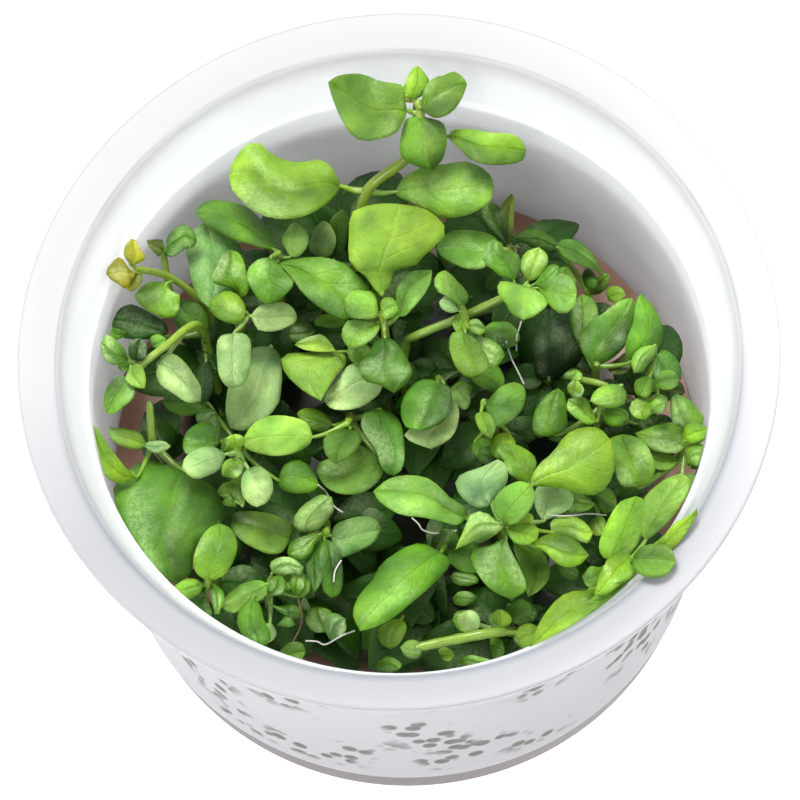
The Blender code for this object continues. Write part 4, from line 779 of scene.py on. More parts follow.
def segments_for(leaf):
    if leaf_area(leaf) >= OWN_AREA:
        return LARGE_SEGMENTS
    return MIDDLE_SEGMENTS if leaf_area(leaf) >= MIDDLE_AREA else SMALL_SEGMENTS


def shell_of(leaf, drop, thick):
    # Both faces of a blade in a few facets, for testing clearance
    base, tip, side, normal = leaf_axes(leaf, drop)
    segments = segments_for(leaf)
    blade = []
    for k in range(segments + 1):
        t = 0.5 - 0.5 * math.cos(math.pi * k / segments)
        half = half_width(leaf, t)
        centre = base.lerp(tip, t) + normal * (leaf[9] * 4 * t * (1 - t))
        row = [centre - side * half, centre, centre + side * half]
        blade.append(row if leaf_area(leaf) >= OWN_AREA else [row[0], row[2]])
    across = len(blade[0])
    verts = []
    faces = []
    for offset in (-thick / 2, thick / 2):
        start = len(verts)
        for i, row in enumerate(blade):
            ahead = blade[min(i + 1, len(blade) - 1)][0] - blade[max(i - 1, 0)][0]
            out = (row[-1] - row[0]).cross(ahead).normalized()
            verts.extend(point + out * offset for point in row)
        for i in range(len(blade) - 1):
            for j in range(across - 1):
                k = start + i * across + j
                faces.append((k, k + 1, k + across + 1, k + across))
    return BVHTree.FromPolygons(verts, faces)


def settle():
    # From the highest leaf down, each one sinks along its line of sight until
    # it lies clear of every leaf already placed, bar those it is fused with
    waiting = []
    for shoot in SHOOTS:
        for number, leaf in enumerate(shoot[4]):
            waiting.append((-max(leaf[4], leaf[5]), shoot[0], number, leaf))
    waiting.sort(key=lambda entry: entry[:3])
    small = [(-max(leaf[4], leaf[5]), "", number, leaf) for number, leaf in enumerate(SMALL_LEAVES)]
    small.sort(key=lambda entry: entry[:3])
    placed = []
    for _, shoot, number, leaf in waiting + small:
        fused = leaf_area(leaf) < OWN_AREA
        for step in range(SETTLE_MOST + 1):
            shell = shell_of(leaf, step * SETTLE_STEP, LEAF_THICK + 2 * GAP)
            near = [other for other in placed
                    if not (fused and other[3] and other[0] == shoot)]
            if not any(shell.overlap(other[2]) for other in near):
                break
        placed.append((shoot, number, shell_of(leaf, step * SETTLE_STEP, LEAF_THICK),
                       fused, leaf, step * SETTLE_STEP))
    return placed


class Bag:
    # Gathers the faces of one piece: place, colour, uv and material number
    def __init__(self):
        self.verts = []
        self.tones = []
        self.uvs = []
        self.faces = []
        self.kinds = []

    def add(self, verts, uvs, faces, tones, kind):
        start = len(self.verts)
        self.verts.extend(verts)
        self.uvs.extend(uvs)
        self.tones.extend(tones)
        self.faces.extend([tuple(start + i for i in face) for face in faces])
        self.kinds.extend([kind] * len(faces))

    def mesh(self, name):
        mesh = bpy.data.meshes.new(name)
        mesh.from_pydata([vert * MM for vert in self.verts], [], self.faces)
        for material in LEAVES:
            mesh.materials.append(material)
        mesh.polygons.foreach_set("material_index", self.kinds)
        tones = mesh.attributes.new("tone", "FLOAT_COLOR", "POINT")
        tones.data.foreach_set("color", [part for tone in self.tones for part in (*tone, 0.0)[:4]])
        layer = mesh.uv_layers.new(name="blade")
        flat = [part for loop in mesh.loops for part in self.uvs[loop.vertex_index]]
        layer.data.foreach_set("uv", flat)
        mesh.shade_smooth()
        return mesh


def evenly(points, shares):
    # The points at these shares of the length of a line
    lengths = [0.0]
    for first, second in zip(points, points[1:]):
        lengths.append(lengths[-1] + (second - first).length)
    out = []
    for share in shares:
        want = share * lengths[-1]
        k = max(1, next((i for i, length in enumerate(lengths) if length >= want), len(points) - 1))
        part = (want - lengths[k - 1]) / max(lengths[k] - lengths[k - 1], 1e-9)
        out.append(points[k - 1].lerp(points[k], min(part, 1.0)))
    return out


def traced_rows(outline, shares):
    # Matching points down the left and right edges of a traced blade
    base, one, tip, two = outline
    edges = []
    for side in (one, two):
        points = smooth_path([Vector(point) for point in [base] + side + [tip]], 5)
        edges.append(evenly(points, shares))
    axis = Vector(tip) - Vector(base)
    middle = edges[0][len(shares) // 2] - Vector(base)
    if axis.x * middle.y - axis.y * middle.x > 0:
        edges.reverse()
    return edges


def add_blade(bag, leaf, drop, rng, kind, outline):
    # A blade folded along its midrib, cupped and waved, closed round its edge
    base, tip, side, normal = leaf_axes(leaf, drop)
    size = leaf_area(leaf)
    across = 12 if size > 30 else 8
    along = 18 if size > 30 else 12
    length = (tip - base).length
    fold = rng.uniform(0.10, 0.42)
    cup = rng.uniform(-0.58, -0.14)
    wave = rng.uniform(0.05, 0.15)
    phase = rng.uniform(0, math.tau)
    waves = rng.uniform(1.2, 2.4)
    droop = rng.uniform(0.0, 0.10) * length
    bend = rng.uniform(-0.06, 0.06) * length
    lean = rng.uniform(-0.12, 0.12)
    roll = rng.uniform(-0.30, 0.30)
    twist = rng.uniform(-0.45, 0.45)
    point = rng.uniform(0.0, 0.22)
    tone = varied(TONES[leaf[10]], rng)
    shares = [0.5 - 0.5 * math.cos(math.pi * j / along) for j in range(along + 1)]
    edges = traced_rows(outline, shares) if outline else None
    steep = max(-1.0, min(1.0, math.tan(math.radians(leaf[8]))))
    verts = []
    uvs = []
    for layer in (1, -1):
        for j, t in enumerate(shares):
            arch = leaf[9] * 4 * t * (1 - t) - droop * t ** 3
            half = half_width(leaf, t) * (1 - point * smooth_step((t - 0.6) / 0.4) * (1 - t) * 2.5)
            centre = base.lerp(tip, t) + normal * arch + side * (bend * math.sin(math.pi * t))
            turn = roll * smooth_step(t * 4) + twist * (t - 0.5)
            out = side * math.cos(turn) + normal * math.sin(turn)
            up = normal * math.cos(turn) - side * math.sin(turn)
            if edges:
                level = leaf[4] + (leaf[5] - leaf[4]) * t - drop + arch
                half = (seen_at(edges[1][j], level) - seen_at(edges[0][j], level)).length / 2
                middle = edges[0][j].lerp(edges[1][j], 0.5 + 0.5 * lean * math.sin(math.pi * t))
            for i in range(across + 1):
                u = 2 * i / across - 1
                wide = half * (1 + lean * (1 if u > 0 else -1) * math.sin(math.pi * t))
                lift = fold * (abs(u) ** 1.3) * half + cup * u * u * half
                lift += wave * half * u * u * math.sin(waves * math.tau * t + phase + (2.1 if u > 0 else 0))
                lift += -0.10 * math.exp(-(u * 7) ** 2) * min(1.0, half)
                lift += layer * 0.11 * (1 - 0.75 * u * u)
                if edges:
                    pixel = middle.lerp(edges[1 if u > 0 else 0][j], abs(u))
                    verts.append(seen_at(pixel, level + lift + half * u * (steep + 0.5 * math.sin(turn))))
                else:
                    verts.append(centre + out * (u * wide) + up * lift)
                uvs.append((u * 0.5 + 0.5, t))
    verts = [kept_inside(vert) for vert in verts]
    tones = mottled(verts, uvs, across + 1, tone, rng)
    add_sheet(bag, verts, uvs, across, along, tones, kind)
    if outline:
        base = seen_at(outline[0], leaf[4] - drop)
        tip = seen_at(outline[2], leaf[5] - drop)
    return base, tip, tone


def kept_inside(place):
    # The place itself, or the nearest one on the inside of the cup's wall
    if place.z < STEP_H:
        most = BASE_R + (WALL_TOP_R - BASE_R) * place.z / STEP_H - WALL - WALL_CLEAR
    elif place.z < MOUTH_H:
        most = STEP_R + (MOUTH_R - STEP_R) * (place.z - STEP_H) / (MOUTH_H - STEP_H) - WALL - WALL_CLEAR
    else:
        return place
    share = min(1.0, most / math.hypot(place.x, place.y))
    return Vector((place.x * share, place.y * share, place.z))


def mottled(verts, uvs, row, tone, rng):
    # The colour at each point of a blade: patches, one half darker as painted
    # shade of its fold, a paler end, painted shade low down between the stems,
    # and last a painted wet highlight where it faces the sky
    # painted shade: one half of each blade is coloured darker, as its fold would shade it
    painted_fold_shade = rng.uniform(-0.26, 0.26)
    ends = rng.uniform(-0.30, 0.45)
    sky = Vector((rng.uniform(-0.45, 0.35), rng.uniform(-0.40, 0.30), 1.0)).normalized()
    glare_strength = rng.choice((0.15, 0.5, 0.8, 1.0))
    sheet = len(verts) // 2
    tones = []
    for k in range(sheet):
        place = verts[k]
        u, t = uvs[k]
        j = min(k // row, sheet // row - 2) * row
        i = min(k % row, row - 2)
        facing = (verts[j + i + 1] - verts[j + i]).cross(verts[j + i + row] - verts[j + i])
        facing = abs(facing.normalized().dot(sky))
        side = max(-1.0, min(1.0, (u - 0.5) * 9))
        patch = 0.55 * noise.noise(place * 0.22) + 0.30 * noise.noise(place * 0.6)
        # painted shade: the lower a blade sits, the darker it is coloured
        deep = 0.45 + 0.55 * smooth_step((place.z - 37.0) / 9.0)
        share = max(0.25, 1 + painted_fold_shade * side + ends * (t - 0.5) + patch) * deep
        warm = 1 + 0.35 * patch + 0.25 * ends * (t - 0.5)
        # painted highlight: a wet glare where the blade faces the sky, kept in the tone's alpha
        painted_glare = smooth_step((facing - 0.88) / 0.10) * smooth_step(0.6 + 1.5 * noise.noise(place * 0.35))
        tones.append((tone[0] * share * warm, tone[1] * share, tone[2] * share, painted_glare * glare_strength))
    return tones * 2


def add_sheet(bag, verts, uvs, across, along, tones, kind):
    # Both layers of a blade, joined round its edge
    row = across + 1
    sheet = row * (along + 1)
    faces = []
    for j in range(along):
        for i in range(across):
            k = j * row + i
            faces.append((k, k + 1, k + row + 1, k + row))
            k += sheet
            faces.append((k + row, k + row + 1, k + 1, k))
    rim = [i for i in range(row)]
    rim += [j * row + across for j in range(1, along + 1)]
    rim += [along * row + i for i in range(across - 1, -1, -1)]
    rim += [j * row for j in range(along - 1, 0, -1)]
    for a, b in zip(rim, rim[1:] + rim[:1]):
        faces.append((b, a, a + sheet, b + sheet))
    bag.add(verts, uvs, faces, tones, kind)


def smooth_step(t):
    t = min(max(t, 0.0), 1.0)
    return t * t * (3 - 2 * t)


def varied(tone, rng):
    shade = rng.uniform(0.86, 1.16)
    warm = rng.uniform(0.92, 1.10)
    return (tone[0] * shade * warm, tone[1] * shade, tone[2] * shade / warm)


def smooth_path(points, steps):
    # A smooth curve through every point
    ends = [points[0] * 2 - points[1]] + points + [points[-1] * 2 - points[-2]]
    out = []
    for a, b, c, d in zip(ends, ends[1:], ends[2:], ends[3:]):
        for k in range(steps):
            t = k / steps
            out.append(0.5 * (2 * b + (c - a) * t + (2 * a - 5 * b + 4 * c - d) * t * t
                              + (3 * b - a - 3 * c + d) * t ** 3))
    out.append(points[-1])
    return out


class Value:
    # A shader socket that takes part in sums written as Python expressions
    def __init__(self, graph, socket):
        self.graph = graph
        self.socket = socket

    def math(self, operation, *others, clamp=False):
        return self.graph.math(operation, self, *others, clamp=clamp)

    def __add__(self, other):
        return self.math("ADD", other)

    __radd__ = __add__

    def __mul__(self, other):
        return self.math("MULTIPLY", other)

    __rmul__ = __mul__

    def __sub__(self, other):
        return self.math("SUBTRACT", other)

    def __rsub__(self, other):
        return self.graph.math("SUBTRACT", other, self)

    def __pow__(self, other):
        return self.math("POWER", other)

    def clip(self):
        return self.math("ADD", 0.0, clamp=True)

    def size(self):
        return self.math("ABSOLUTE")

    def fraction(self):
        return self.math("FRACT")


class Graph:
    # The node tree of one material
    def __init__(self, name):
        self.material = bpy.data.materials.new(name)
        self.material.use_nodes = True
        self.tree = self.material.node_tree
        self.tree.nodes.clear()

    def node(self, kind, settings=None, **inputs):
        made = self.tree.nodes.new("ShaderNode" + kind)
        for key, value in (settings or {}).items():
            setattr(made, key, value)
        for key, value in inputs.items():
            self.feed(made.inputs[key.replace("_", " ")], value)
        return made

    def feed(self, socket, value):
        if isinstance(value, Value):
            self.tree.links.new(value.socket, socket)
        elif isinstance(value, bpy.types.NodeSocket):
            self.tree.links.new(value, socket)
        else:
            socket.default_value = value

    def math(self, operation, *values, clamp=False):
        made = self.node("Math", {"operation": operation, "use_clamp": clamp})
        for socket, value in zip(made.inputs, values):
            self.feed(socket, value)
        return Value(self, made.outputs[0])

    def noise(self, place, scale, detail=2.0, rough=0.5):
        made = self.node("TexNoise", Vector=place, Scale=scale, Detail=detail, Roughness=rough)
        return Value(self, made.outputs["Fac"])

    def cells(self, place, scale):
        made = self.node("TexVoronoi", Vector=place, Scale=scale)
        return Value(self, made.outputs["Distance"])

    def blend(self, share, first, second, mode="MIX"):
        made = self.node("Mix", {"data_type": "RGBA", "blend_type": mode})
        self.feed(made.inputs[0], share)
        self.feed(made.inputs[6], first)
        self.feed(made.inputs[7], second)
        return made.outputs[2]

    def scaled(self, colour, share):
        made = self.node("VectorMath", {"operation": "SCALE"})
        self.feed(made.inputs[0], colour)
        self.feed(made.inputs["Scale"], share)
        return made.outputs[0]

    def parts(self, vector):
        made = self.node("SeparateXYZ", Vector=vector)
        return [Value(self, socket) for socket in made.outputs]

    def bumped(self, height, strength, depth):
        made = self.node("Bump", Height=height, Strength=strength, Distance=depth)
        return made.outputs[0]

    def place(self):
        return self.node("TexCoord").outputs["Object"]

    def lit_through(self, body, glow, share, normal):
        # A shader that also lets some light through from behind
        through = self.node("BsdfTranslucent", Color=glow, Normal=normal)
        both = self.node("MixShader", Fac=share)
        self.tree.links.new(body.outputs[0], both.inputs[1])
        self.tree.links.new(through.outputs[0], both.inputs[2])
        return both.outputs[0]

    def finish(self, shader):
        out = self.node("OutputMaterial")
        self.tree.links.new(shader, out.inputs["Surface"])
        return self.material


def leaf_material(name, glow, share, gloss, shine, painted_sheen):
    # A blade with midrib and side veins, blistered between them, with painted wet highlights
    g = Graph(name)
    place = g.place()
    stored = g.node("Attribute", {"attribute_name": "tone"})
    tone = stored.outputs["Color"]
    painted_glare = Value(g, stored.outputs["Alpha"])
    u, v, _ = g.parts(g.node("UVMap", {"uv_map": "blade"}).outputs[0])
    away = (u * 2 - 1).size()
    midrib = (1 - away * 13).clip()
    ridge = ((v * 6 - away * 1.5).fraction() - 0.5).size() * 2
    veins = ((ridge - 0.84) * 6).clip() * (away * 9).clip() * (1.05 - away).clip()
    veins = (veins * 0.8 + midrib).clip()
    patches = g.noise(place, 420.0, 3.0, 0.55)
    blisters = g.noise(place, 1700.0, 2.0, 0.5)
    grain = g.noise(place, 5200.0, 2.0, 0.65)
    broad = g.noise(place, 95.0, 1.0, 0.5)
    shade = 0.22 + patches * 1.0 + broad * 0.76 + (blisters - 0.5) * 0.44
    colour = g.scaled(tone, shade)
    pale = g.blend(1.0, tone, (1.9, 1.55, 2.2, 1.0), "MULTIPLY")
    colour = g.blend(veins * 0.42, colour, pale)
    edge = ((away - 0.90) * 9).clip() * 0.35
    colour = g.blend(edge, colour, pale)
    # painted highlight: the stored glare, broken into specks and added to the colour as pale green
    glare_specks = ((grain * 0.6 + blisters * 0.4 - 0.44) * 9).clip()
    painted_glare = painted_glare * (0.36 + glare_specks * 0.64) * painted_sheen
    colour = g.blend(painted_glare, colour, (0.29, 0.35, 0.19, 1.0), "ADD")
    rough = (gloss + (grain - 0.5) * 0.30 + (patches - 0.5) * 0.30).clip()
    height = blisters * 0.50 + grain * 0.55 - veins * 0.50 + patches * 0.5
    normal = g.bumped(height, 0.85, 0.00030)
    body = g.node("BsdfPrincipled", Base_Color=colour, Roughness=rough, Normal=normal,
                  Specular_IOR_Level=shine)
    return g.finish(g.lit_through(body, glow, share, normal))


def stem_material():
    g = Graph("wet_stem")
    place = g.place()
    tone = g.node("Attribute", {"attribute_name": "tone"}).outputs["Color"]
    streaks = g.noise(place, 700.0, 3.0)
    fine = g.noise(place, 3500.0, 2.0)
    colour = g.scaled(tone, 0.65 + streaks * 0.7)
    flecks = ((fine - 0.58) * 6).clip() * 0.35
    colour = g.blend(flecks, colour, (0.55, 0.62, 0.25, 1.0))
    normal = g.bumped(fine * 0.5 + streaks * 0.5, 0.4, 0.00015)
    body = g.node("BsdfPrincipled", Base_Color=colour, Roughness=0.30, Normal=normal, Coat_Weight=0.35,
                  Coat_Roughness=0.12)
    return g.finish(body.outputs[0])


def root_material(name, colour):
    g = Graph(name)
    fine = g.noise(g.place(), 2500.0, 2.0)
    shade = g.blend(fine, (*[part * 0.7 for part in colour], 1.0), (*colour, 1.0))
    body = g.node("BsdfPrincipled", Base_Color=shade, Roughness=0.35)
    return g.finish(body.outputs[0])


def cup_material():
    # Thin milky plastic: a flange painted darker than the wall and darker still at
    # the front as painted shade, a painted shade line at either crease, a bluish
    # painted shadow on the front lip, the dark band of gel seen through the foot,
    # and a faint painted glow on the inside of the wall, standing in for light that soaks through
    g = Graph("milky_plastic")
    place = g.place()
    x, y, z = g.parts(place)
    cloud = g.noise(place, 60.0, 3.0)
    fine = g.noise(place, 900.0, 2.0)
    colour = g.blend(cloud, (0.80, 0.805, 0.82, 1.0), (0.86, 0.865, 0.88, 1.0))
    low = ((FOOT_BAND * MM - z) * 2500).clip()
    colour = g.blend(low, colour, (0.060, 0.030, 0.026, 1.0))
    reach = (x * x + y * y) ** 0.5 * 1000
    front = (y * -40).clip()
    flange = ((reach - (MOUTH_R - 0.15)) * 2).clip() * ((z - FLANGE_FROM * MM) * 900).clip()
    # painted shade: the flange coloured darker than the wall, darker still towards the front
    painted_flange_shade = g.blend(front, (0.64, 0.64, 0.65, 1.0), (0.50, 0.505, 0.525, 1.0))
    colour = g.blend(flange, colour, painted_flange_shade)
    # painted shadow: a bluish grey band on the inner edge of the front flange
    painted_lip_shadow = (MOUTH_R + 1.25 - reach).clip() * front * flange
    colour = g.blend(painted_lip_shadow, colour, (0.30, 0.33, 0.38, 1.0))
    # painted shade: grey lines along the mouth crease and the outer rim edge
    mouth_crease_shade = (1 - (reach - (MOUTH_R + 0.25)).size() * 5).clip() * (cloud * 2.4 - 0.6).clip() * (1 - front)
    rim_edge_shade = (1 - (reach - (RIM_R - 0.3)).size() * 5).clip() * 0.5
    colour = g.blend((mouth_crease_shade + rim_edge_shade).clip() * flange * 0.8, colour, (0.26, 0.27, 0.29, 1.0))
    print_seen = ((g.noise(place, 85.0, 1.0) - 0.52) * 14).clip() * 0.12
    slope = ((z - SLOPE_FROM * MM) * 900).clip()
    # painted glow: emission on the inside of the wall and slope, standing in for light that soaks through
    # the plastic, dimmed where the print would show through
    wall_glow = ((z - GLOW_FROM * MM) * 90).clip() * (1 - (y * 30).clip() * 0.48)
    slope_glow = 0.66 - (0.45 - y * 40).clip() * 0.58
    glow = wall_glow * (1 - slope) + slope * slope_glow
    wall = BASE_R - 0.4 + z * (1000 * (WALL_TOP_R - BASE_R) / STEP_H) + slope * 30
    glow = glow * ((wall - reach) * 5).clip()
    glow = glow * (1 - print_seen) * ((GLOW_TO * MM - z) * 900).clip()
    painted_glow = g.scaled((1.0, 1.0, 0.99), glow)
    normal = g.bumped(fine, 0.08, 0.0001)
    body = g.node("BsdfPrincipled", Base_Color=colour, Roughness=0.27 + cloud * 0.08, Normal=normal,
                  Transmission_Weight=0.22, IOR=1.46, Specular_IOR_Level=0.4,
                  Emission_Color=painted_glow, Emission_Strength=0.27)
    share = 0.34 * (1 - low) * (1 - flange * 0.8)
    return g.finish(g.lit_through(body, (0.97, 0.98, 1.0, 1.0), share, normal))


def label_material():
    # White paper with drifts of small round grey-green dots
    g = Graph("printed_paper")
    place = g.place()
    x, y, z = g.parts(place)
    turn = g.math("ARCTAN2", x, y * -1.0)
    around = turn * 42.0
    up = z * 1000.0
    sheet = g.node("CombineXYZ", X=around, Y=up, Z=0.0).outputs[0]
    spots = g.cells(sheet, 0.40)
    drift = g.noise(sheet, 0.060, 2.0)
    dots = ((0.50 - spots) * 8).clip() * ((drift - 0.46) * 16).clip()
    inside = ((up - PRINT_LOW) * 0.6).clip() * ((PRINT_HIGH - up) * 0.6).clip()
    ink = dots * inside * 0.95
    fibre = g.noise(place, 2600.0, 3.0)
    paper = g.blend(fibre, (0.56, 0.56, 0.585, 1.0), (0.62, 0.62, 0.645, 1.0))
    colour = g.blend(ink, paper, (0.13, 0.14, 0.115, 1.0))
    normal = g.bumped(fibre, 0.10, 0.0001)
    body = g.node("BsdfPrincipled", Base_Color=colour, Roughness=0.55, Normal=normal)
    return g.finish(g.lit_through(body, (0.9, 0.9, 0.9, 1.0), 0.30, normal))


def gel_material():
    # Salmon jelly, wet on top, painted near-black as shade where it lies under the plants
    g = Graph("salmon_gel")
    place = g.place()
    cloud = g.noise(place, 160.0, 3.0)
    fine = g.noise(place, 1200.0, 2.0)
    x, y, _ = g.parts(place)
    open_side = (((x * x + y * y) ** 0.5 - BRIGHT_GEL * MM) * 300).clip()
    colour = g.blend(cloud, (0.44, 0.23, 0.16, 1.0), (0.60, 0.35, 0.26, 1.0))
    # painted shade: gel close to the axis, under the plants, is coloured near-black
    colour = g.blend(open_side, (0.020, 0.028, 0.012, 1.0), colour)
    normal = g.bumped(cloud * 0.7 + fine * 0.2, 0.35, 0.0008)
    body = g.node("BsdfPrincipled", Base_Color=colour, Roughness=0.30, Normal=normal,
                  Specular_IOR_Level=0.3)
    return g.finish(body.outputs[0])


def floor_material():
    g = Graph("pale_floor")
    cloud = g.noise(g.place(), 3.0, 2.0)
    colour = g.blend(cloud, (0.93, 0.93, 0.93, 1.0), (0.95, 0.95, 0.95, 1.0))
    body = g.node("BsdfPrincipled", Base_Color=colour, Roughness=0.6, Emission_Color=(1, 1, 1, 1),
                  Emission_Strength=1.0)
    return g.finish(body.outputs[0])


class Tree:
    # A Geometry Nodes tree with named inputs
    def __init__(self, name, inputs):
        self.tree = bpy.data.node_groups.new(name, "GeometryNodeTree")
        face = self.tree.interface
        face.new_socket("Geometry", in_out="INPUT", socket_type="NodeSocketGeometry")
        face.new_socket("Geometry", in_out="OUTPUT", socket_type="NodeSocketGeometry")
        for label, kind in inputs:
            face.new_socket(label, in_out="INPUT", socket_type="NodeSocket" + kind)
        self.given = self.tree.nodes.new("NodeGroupInput").outputs

    def node(self, kind, settings=None, **inputs):
        made = self.tree.nodes.new(kind)
        for key, value in (settings or {}).items():
            setattr(made, key, value)
        for key, value in inputs.items():
            socket = made.inputs[key.replace("_", " ")]
            if isinstance(value, bpy.types.NodeSocket):
                self.tree.links.new(value, socket)
            else:
                socket.default_value = value
        return made

    def finish(self, geometry):
        out = self.tree.nodes.new("NodeGroupOutput")
        self.tree.links.new(geometry, out.inputs[0])
        return self.tree


def tube_tree():
    # Tubes along the edges of a mesh, as thick as its points say
    t = Tree("tubes", [("Sides", "Int"), ("Material", "Material")])
    curve = t.node("GeometryNodeMeshToCurve", Mesh=t.given["Geometry"])
    ring = t.node("GeometryNodeCurvePrimitiveCircle", Resolution=t.given["Sides"], Radius=1.0)
    thick = t.node("GeometryNodeInputNamedAttribute", Name="thick")
    tube = t.node("GeometryNodeCurveToMesh", Curve=curve.outputs[0], Scale=thick.outputs[0],
                  Profile_Curve=ring.outputs[0], Fill_Caps=True)
    whole = t.node("GeometryNodeRealizeInstances", Geometry=tube.outputs[0])
    dressed = t.node("GeometryNodeSetMaterial", Geometry=whole.outputs[0], Material=t.given["Material"])
    return t.finish(dressed.outputs[0])


def scatter_tree():
    # One low leaf on every point, turned along its aim and sized by it
    t = Tree("undergrowth", [("Leaf", "Object"), ("Material", "Material"), ("Seed", "Int")])
    leaf = t.node("GeometryNodeObjectInfo", Object=t.given["Leaf"])
    aim = t.node("GeometryNodeInputNamedAttribute", {"data_type": "FLOAT_VECTOR"}, Name="aim")
    up = t.node("FunctionNodeRandomValue", {"data_type": "FLOAT_VECTOR"}, Seed=t.given["Seed"],
                Min=(-0.6, -0.6, 0.7), Max=(0.6, 0.6, 1.0))
    turn = t.node("FunctionNodeAxesToRotation", {"primary_axis": "X", "secondary_axis": "Z"},
                  Primary_Axis=aim.outputs[0], Secondary_Axis=up.outputs[0])
    size = t.node("ShaderNodeVectorMath", {"operation": "LENGTH"})
    t.tree.links.new(aim.outputs[0], size.inputs[0])
    placed = t.node("GeometryNodeInstanceOnPoints", Points=t.given["Geometry"],
                    Instance=leaf.outputs["Geometry"], Rotation=turn.outputs[0],
                    Scale=size.outputs["Value"])
    whole = t.node("GeometryNodeRealizeInstances", Geometry=placed.outputs[0])
    dressed = t.node("GeometryNodeSetMaterial", Geometry=whole.outputs[0], Material=t.given["Material"])
    return t.finish(dressed.outputs[0])


def linked(name, data):
    # A new object in the scene
    made = bpy.data.objects.new(name, data)
    bpy.context.scene.collection.objects.link(made)
    return made


def plain_mesh(name, draft):
    # What a draft's modifiers make of it, as a mesh, with the draft removed
    graph = bpy.context.evaluated_depsgraph_get()
    made = bpy.data.meshes.new_from_object(draft.evaluated_get(graph))
    bpy.data.objects.remove(draft)
    made.name = name
    return made


def grown(name, mesh, tree, values):
    # The plain mesh that a tree makes of mesh, with these inputs
    draft = linked(name + "_draft", mesh)
    layer = draft.modifiers.new("grow", "NODES")
    layer.node_group = tree
    keys = {item.name: item.identifier for item in tree.interface.items_tree if item.in_out == "INPUT"}
    for label, value in values.items():
        layer[keys[label]] = value
    return plain_mesh(name, draft)


def tubes(name, lines, sides, material):
    # lines: (points, radii, colour) of each tube
    mesh = bpy.data.meshes.new(name + "_lines")
    points = [point * MM for path, _, _ in lines for point in path]
    edges = []
    start = 0
    for path, _, _ in lines:
        edges.extend((start + i, start + i + 1) for i in range(len(path) - 1))
        start += len(path)
    mesh.from_pydata(points, edges, [])
    thick = mesh.attributes.new("thick", "FLOAT", "POINT")
    thick.data.foreach_set("value", [radius * MM for _, radii, _ in lines for radius in radii])
    tone = mesh.attributes.new("tone", "FLOAT_COLOR", "POINT")
    tone.data.foreach_set("color", [part for path, _, colour in lines
                                    for _ in path for part in (*colour, 1.0)])
    return grown(name, mesh, TUBES, {"Sides": sides, "Material": material})


def joined(name, meshes):
    # One piece of several meshes, keeping their materials and attributes
    parts = [linked(name, mesh) for mesh in meshes]
    with bpy.context.temp_override(active_object=parts[0], selected_objects=parts,
                                   selected_editable_objects=parts):
        bpy.ops.object.join()
    made = parts[0]
    made.data.shade_smooth()
    made.name = name
    made.data.name = name
    return made


def turned(name, profile, material, ring=False):
    # A profile turned about the cup's axis. A ring's profile closes on itself,
    # and any other starts and ends on the axis.
    mesh = bpy.data.meshes.new(name)
    points = [(x * MM, 0.0, z * MM) for x, z in profile]
    edges = [(i, i + 1) for i in range(len(points) - 1)]
    if ring:
        edges.append((len(points) - 1, 0))
    mesh.from_pydata(points, edges, [])
    mesh.materials.append(material)
    draft = linked(name + "_draft", mesh)
    screw = draft.modifiers.new("turn", "SCREW")
    screw.steps = ROUND
    screw.render_steps = ROUND
    screw.use_merge_vertices = True
    screw.merge_threshold = 0.00001
    made = plain_mesh(name, draft)
    shape = bmesh.new()
    shape.from_mesh(made)
    bmesh.ops.recalc_face_normals(shape, faces=shape.faces)
    if shape.calc_volume(signed=True) < 0:
        bmesh.ops.reverse_faces(shape, faces=shape.faces)
    shape.to_mesh(made)
    shape.free()
    made.shade_smooth()
    made.set_sharp_from_angle(angle=math.radians(SHARP))
    return linked(name, made)


def wall_radius(z):
    share = (z - CORNER) / (STEP_H - CORNER)
    return BASE_R + (WALL_TOP_R - BASE_R) * share


def rounded(a, corner, b, size):
    # Points round a corner of a profile
    a, corner, b = Vector(a), Vector(corner), Vector(b)
    start = corner + (a - corner).normalized() * size
    end = corner + (b - corner).normalized() * size
    return [tuple(start.lerp(corner, t).lerp(corner.lerp(end, t), t))
            for t in [k / CORNER_STEPS for k in range(CORNER_STEPS + 1)]]


def rounded_profile(points, sizes):
    out = [points[0]]
    for a, corner, b, size in zip(points, points[1:], points[2:], sizes[1:]):
        out.extend(rounded(a, corner, b, size) if size else [corner])
    out.append(points[-1])
    return out


def make_cup():
    points = [
        (0.0, FLOOR),
        (wall_radius(FLOOR + CORNER) - WALL, FLOOR),
        (WALL_TOP_R - WALL, STEP_H - STEP_DROP),
        (STEP_R - WALL, STEP_H),
        (MOUTH_R, MOUTH_H),
        (RIM_R, RIM_H),
        (RIM_R, RIM_H - FLANGE),
        (MOUTH_R + WALL, MOUTH_H - FLANGE),
        (STEP_R, STEP_H - STEP_DROP),
        (WALL_TOP_R, STEP_H - 2 * STEP_DROP),
        (BASE_R - 0.05, 0.0),
        (0.0, 0.0),
    ]
    sizes = [0, CORNER, 0.2, 0.25, 0.7, 0.3, 0.3, 0.7, 0.25, 0.2, CORNER, 0]
    cup = turned("cup_milky", rounded_profile(points, sizes), CUP_PLASTIC)
    place(cup, "cup", "cup")


def make_label():
    inner_low = wall_radius(LABEL_LOW) + GAP
    inner_high = wall_radius(LABEL_HIGH) + GAP
    profile = [
        (inner_high, LABEL_HIGH),
        (inner_high + LABEL_THICK, LABEL_HIGH),
        (inner_low + LABEL_THICK, LABEL_LOW),
        (inner_low, LABEL_LOW),
    ]
    label = turned("paper_sleeve", profile, PAPER, ring=True)
    place(label, "label", "label")


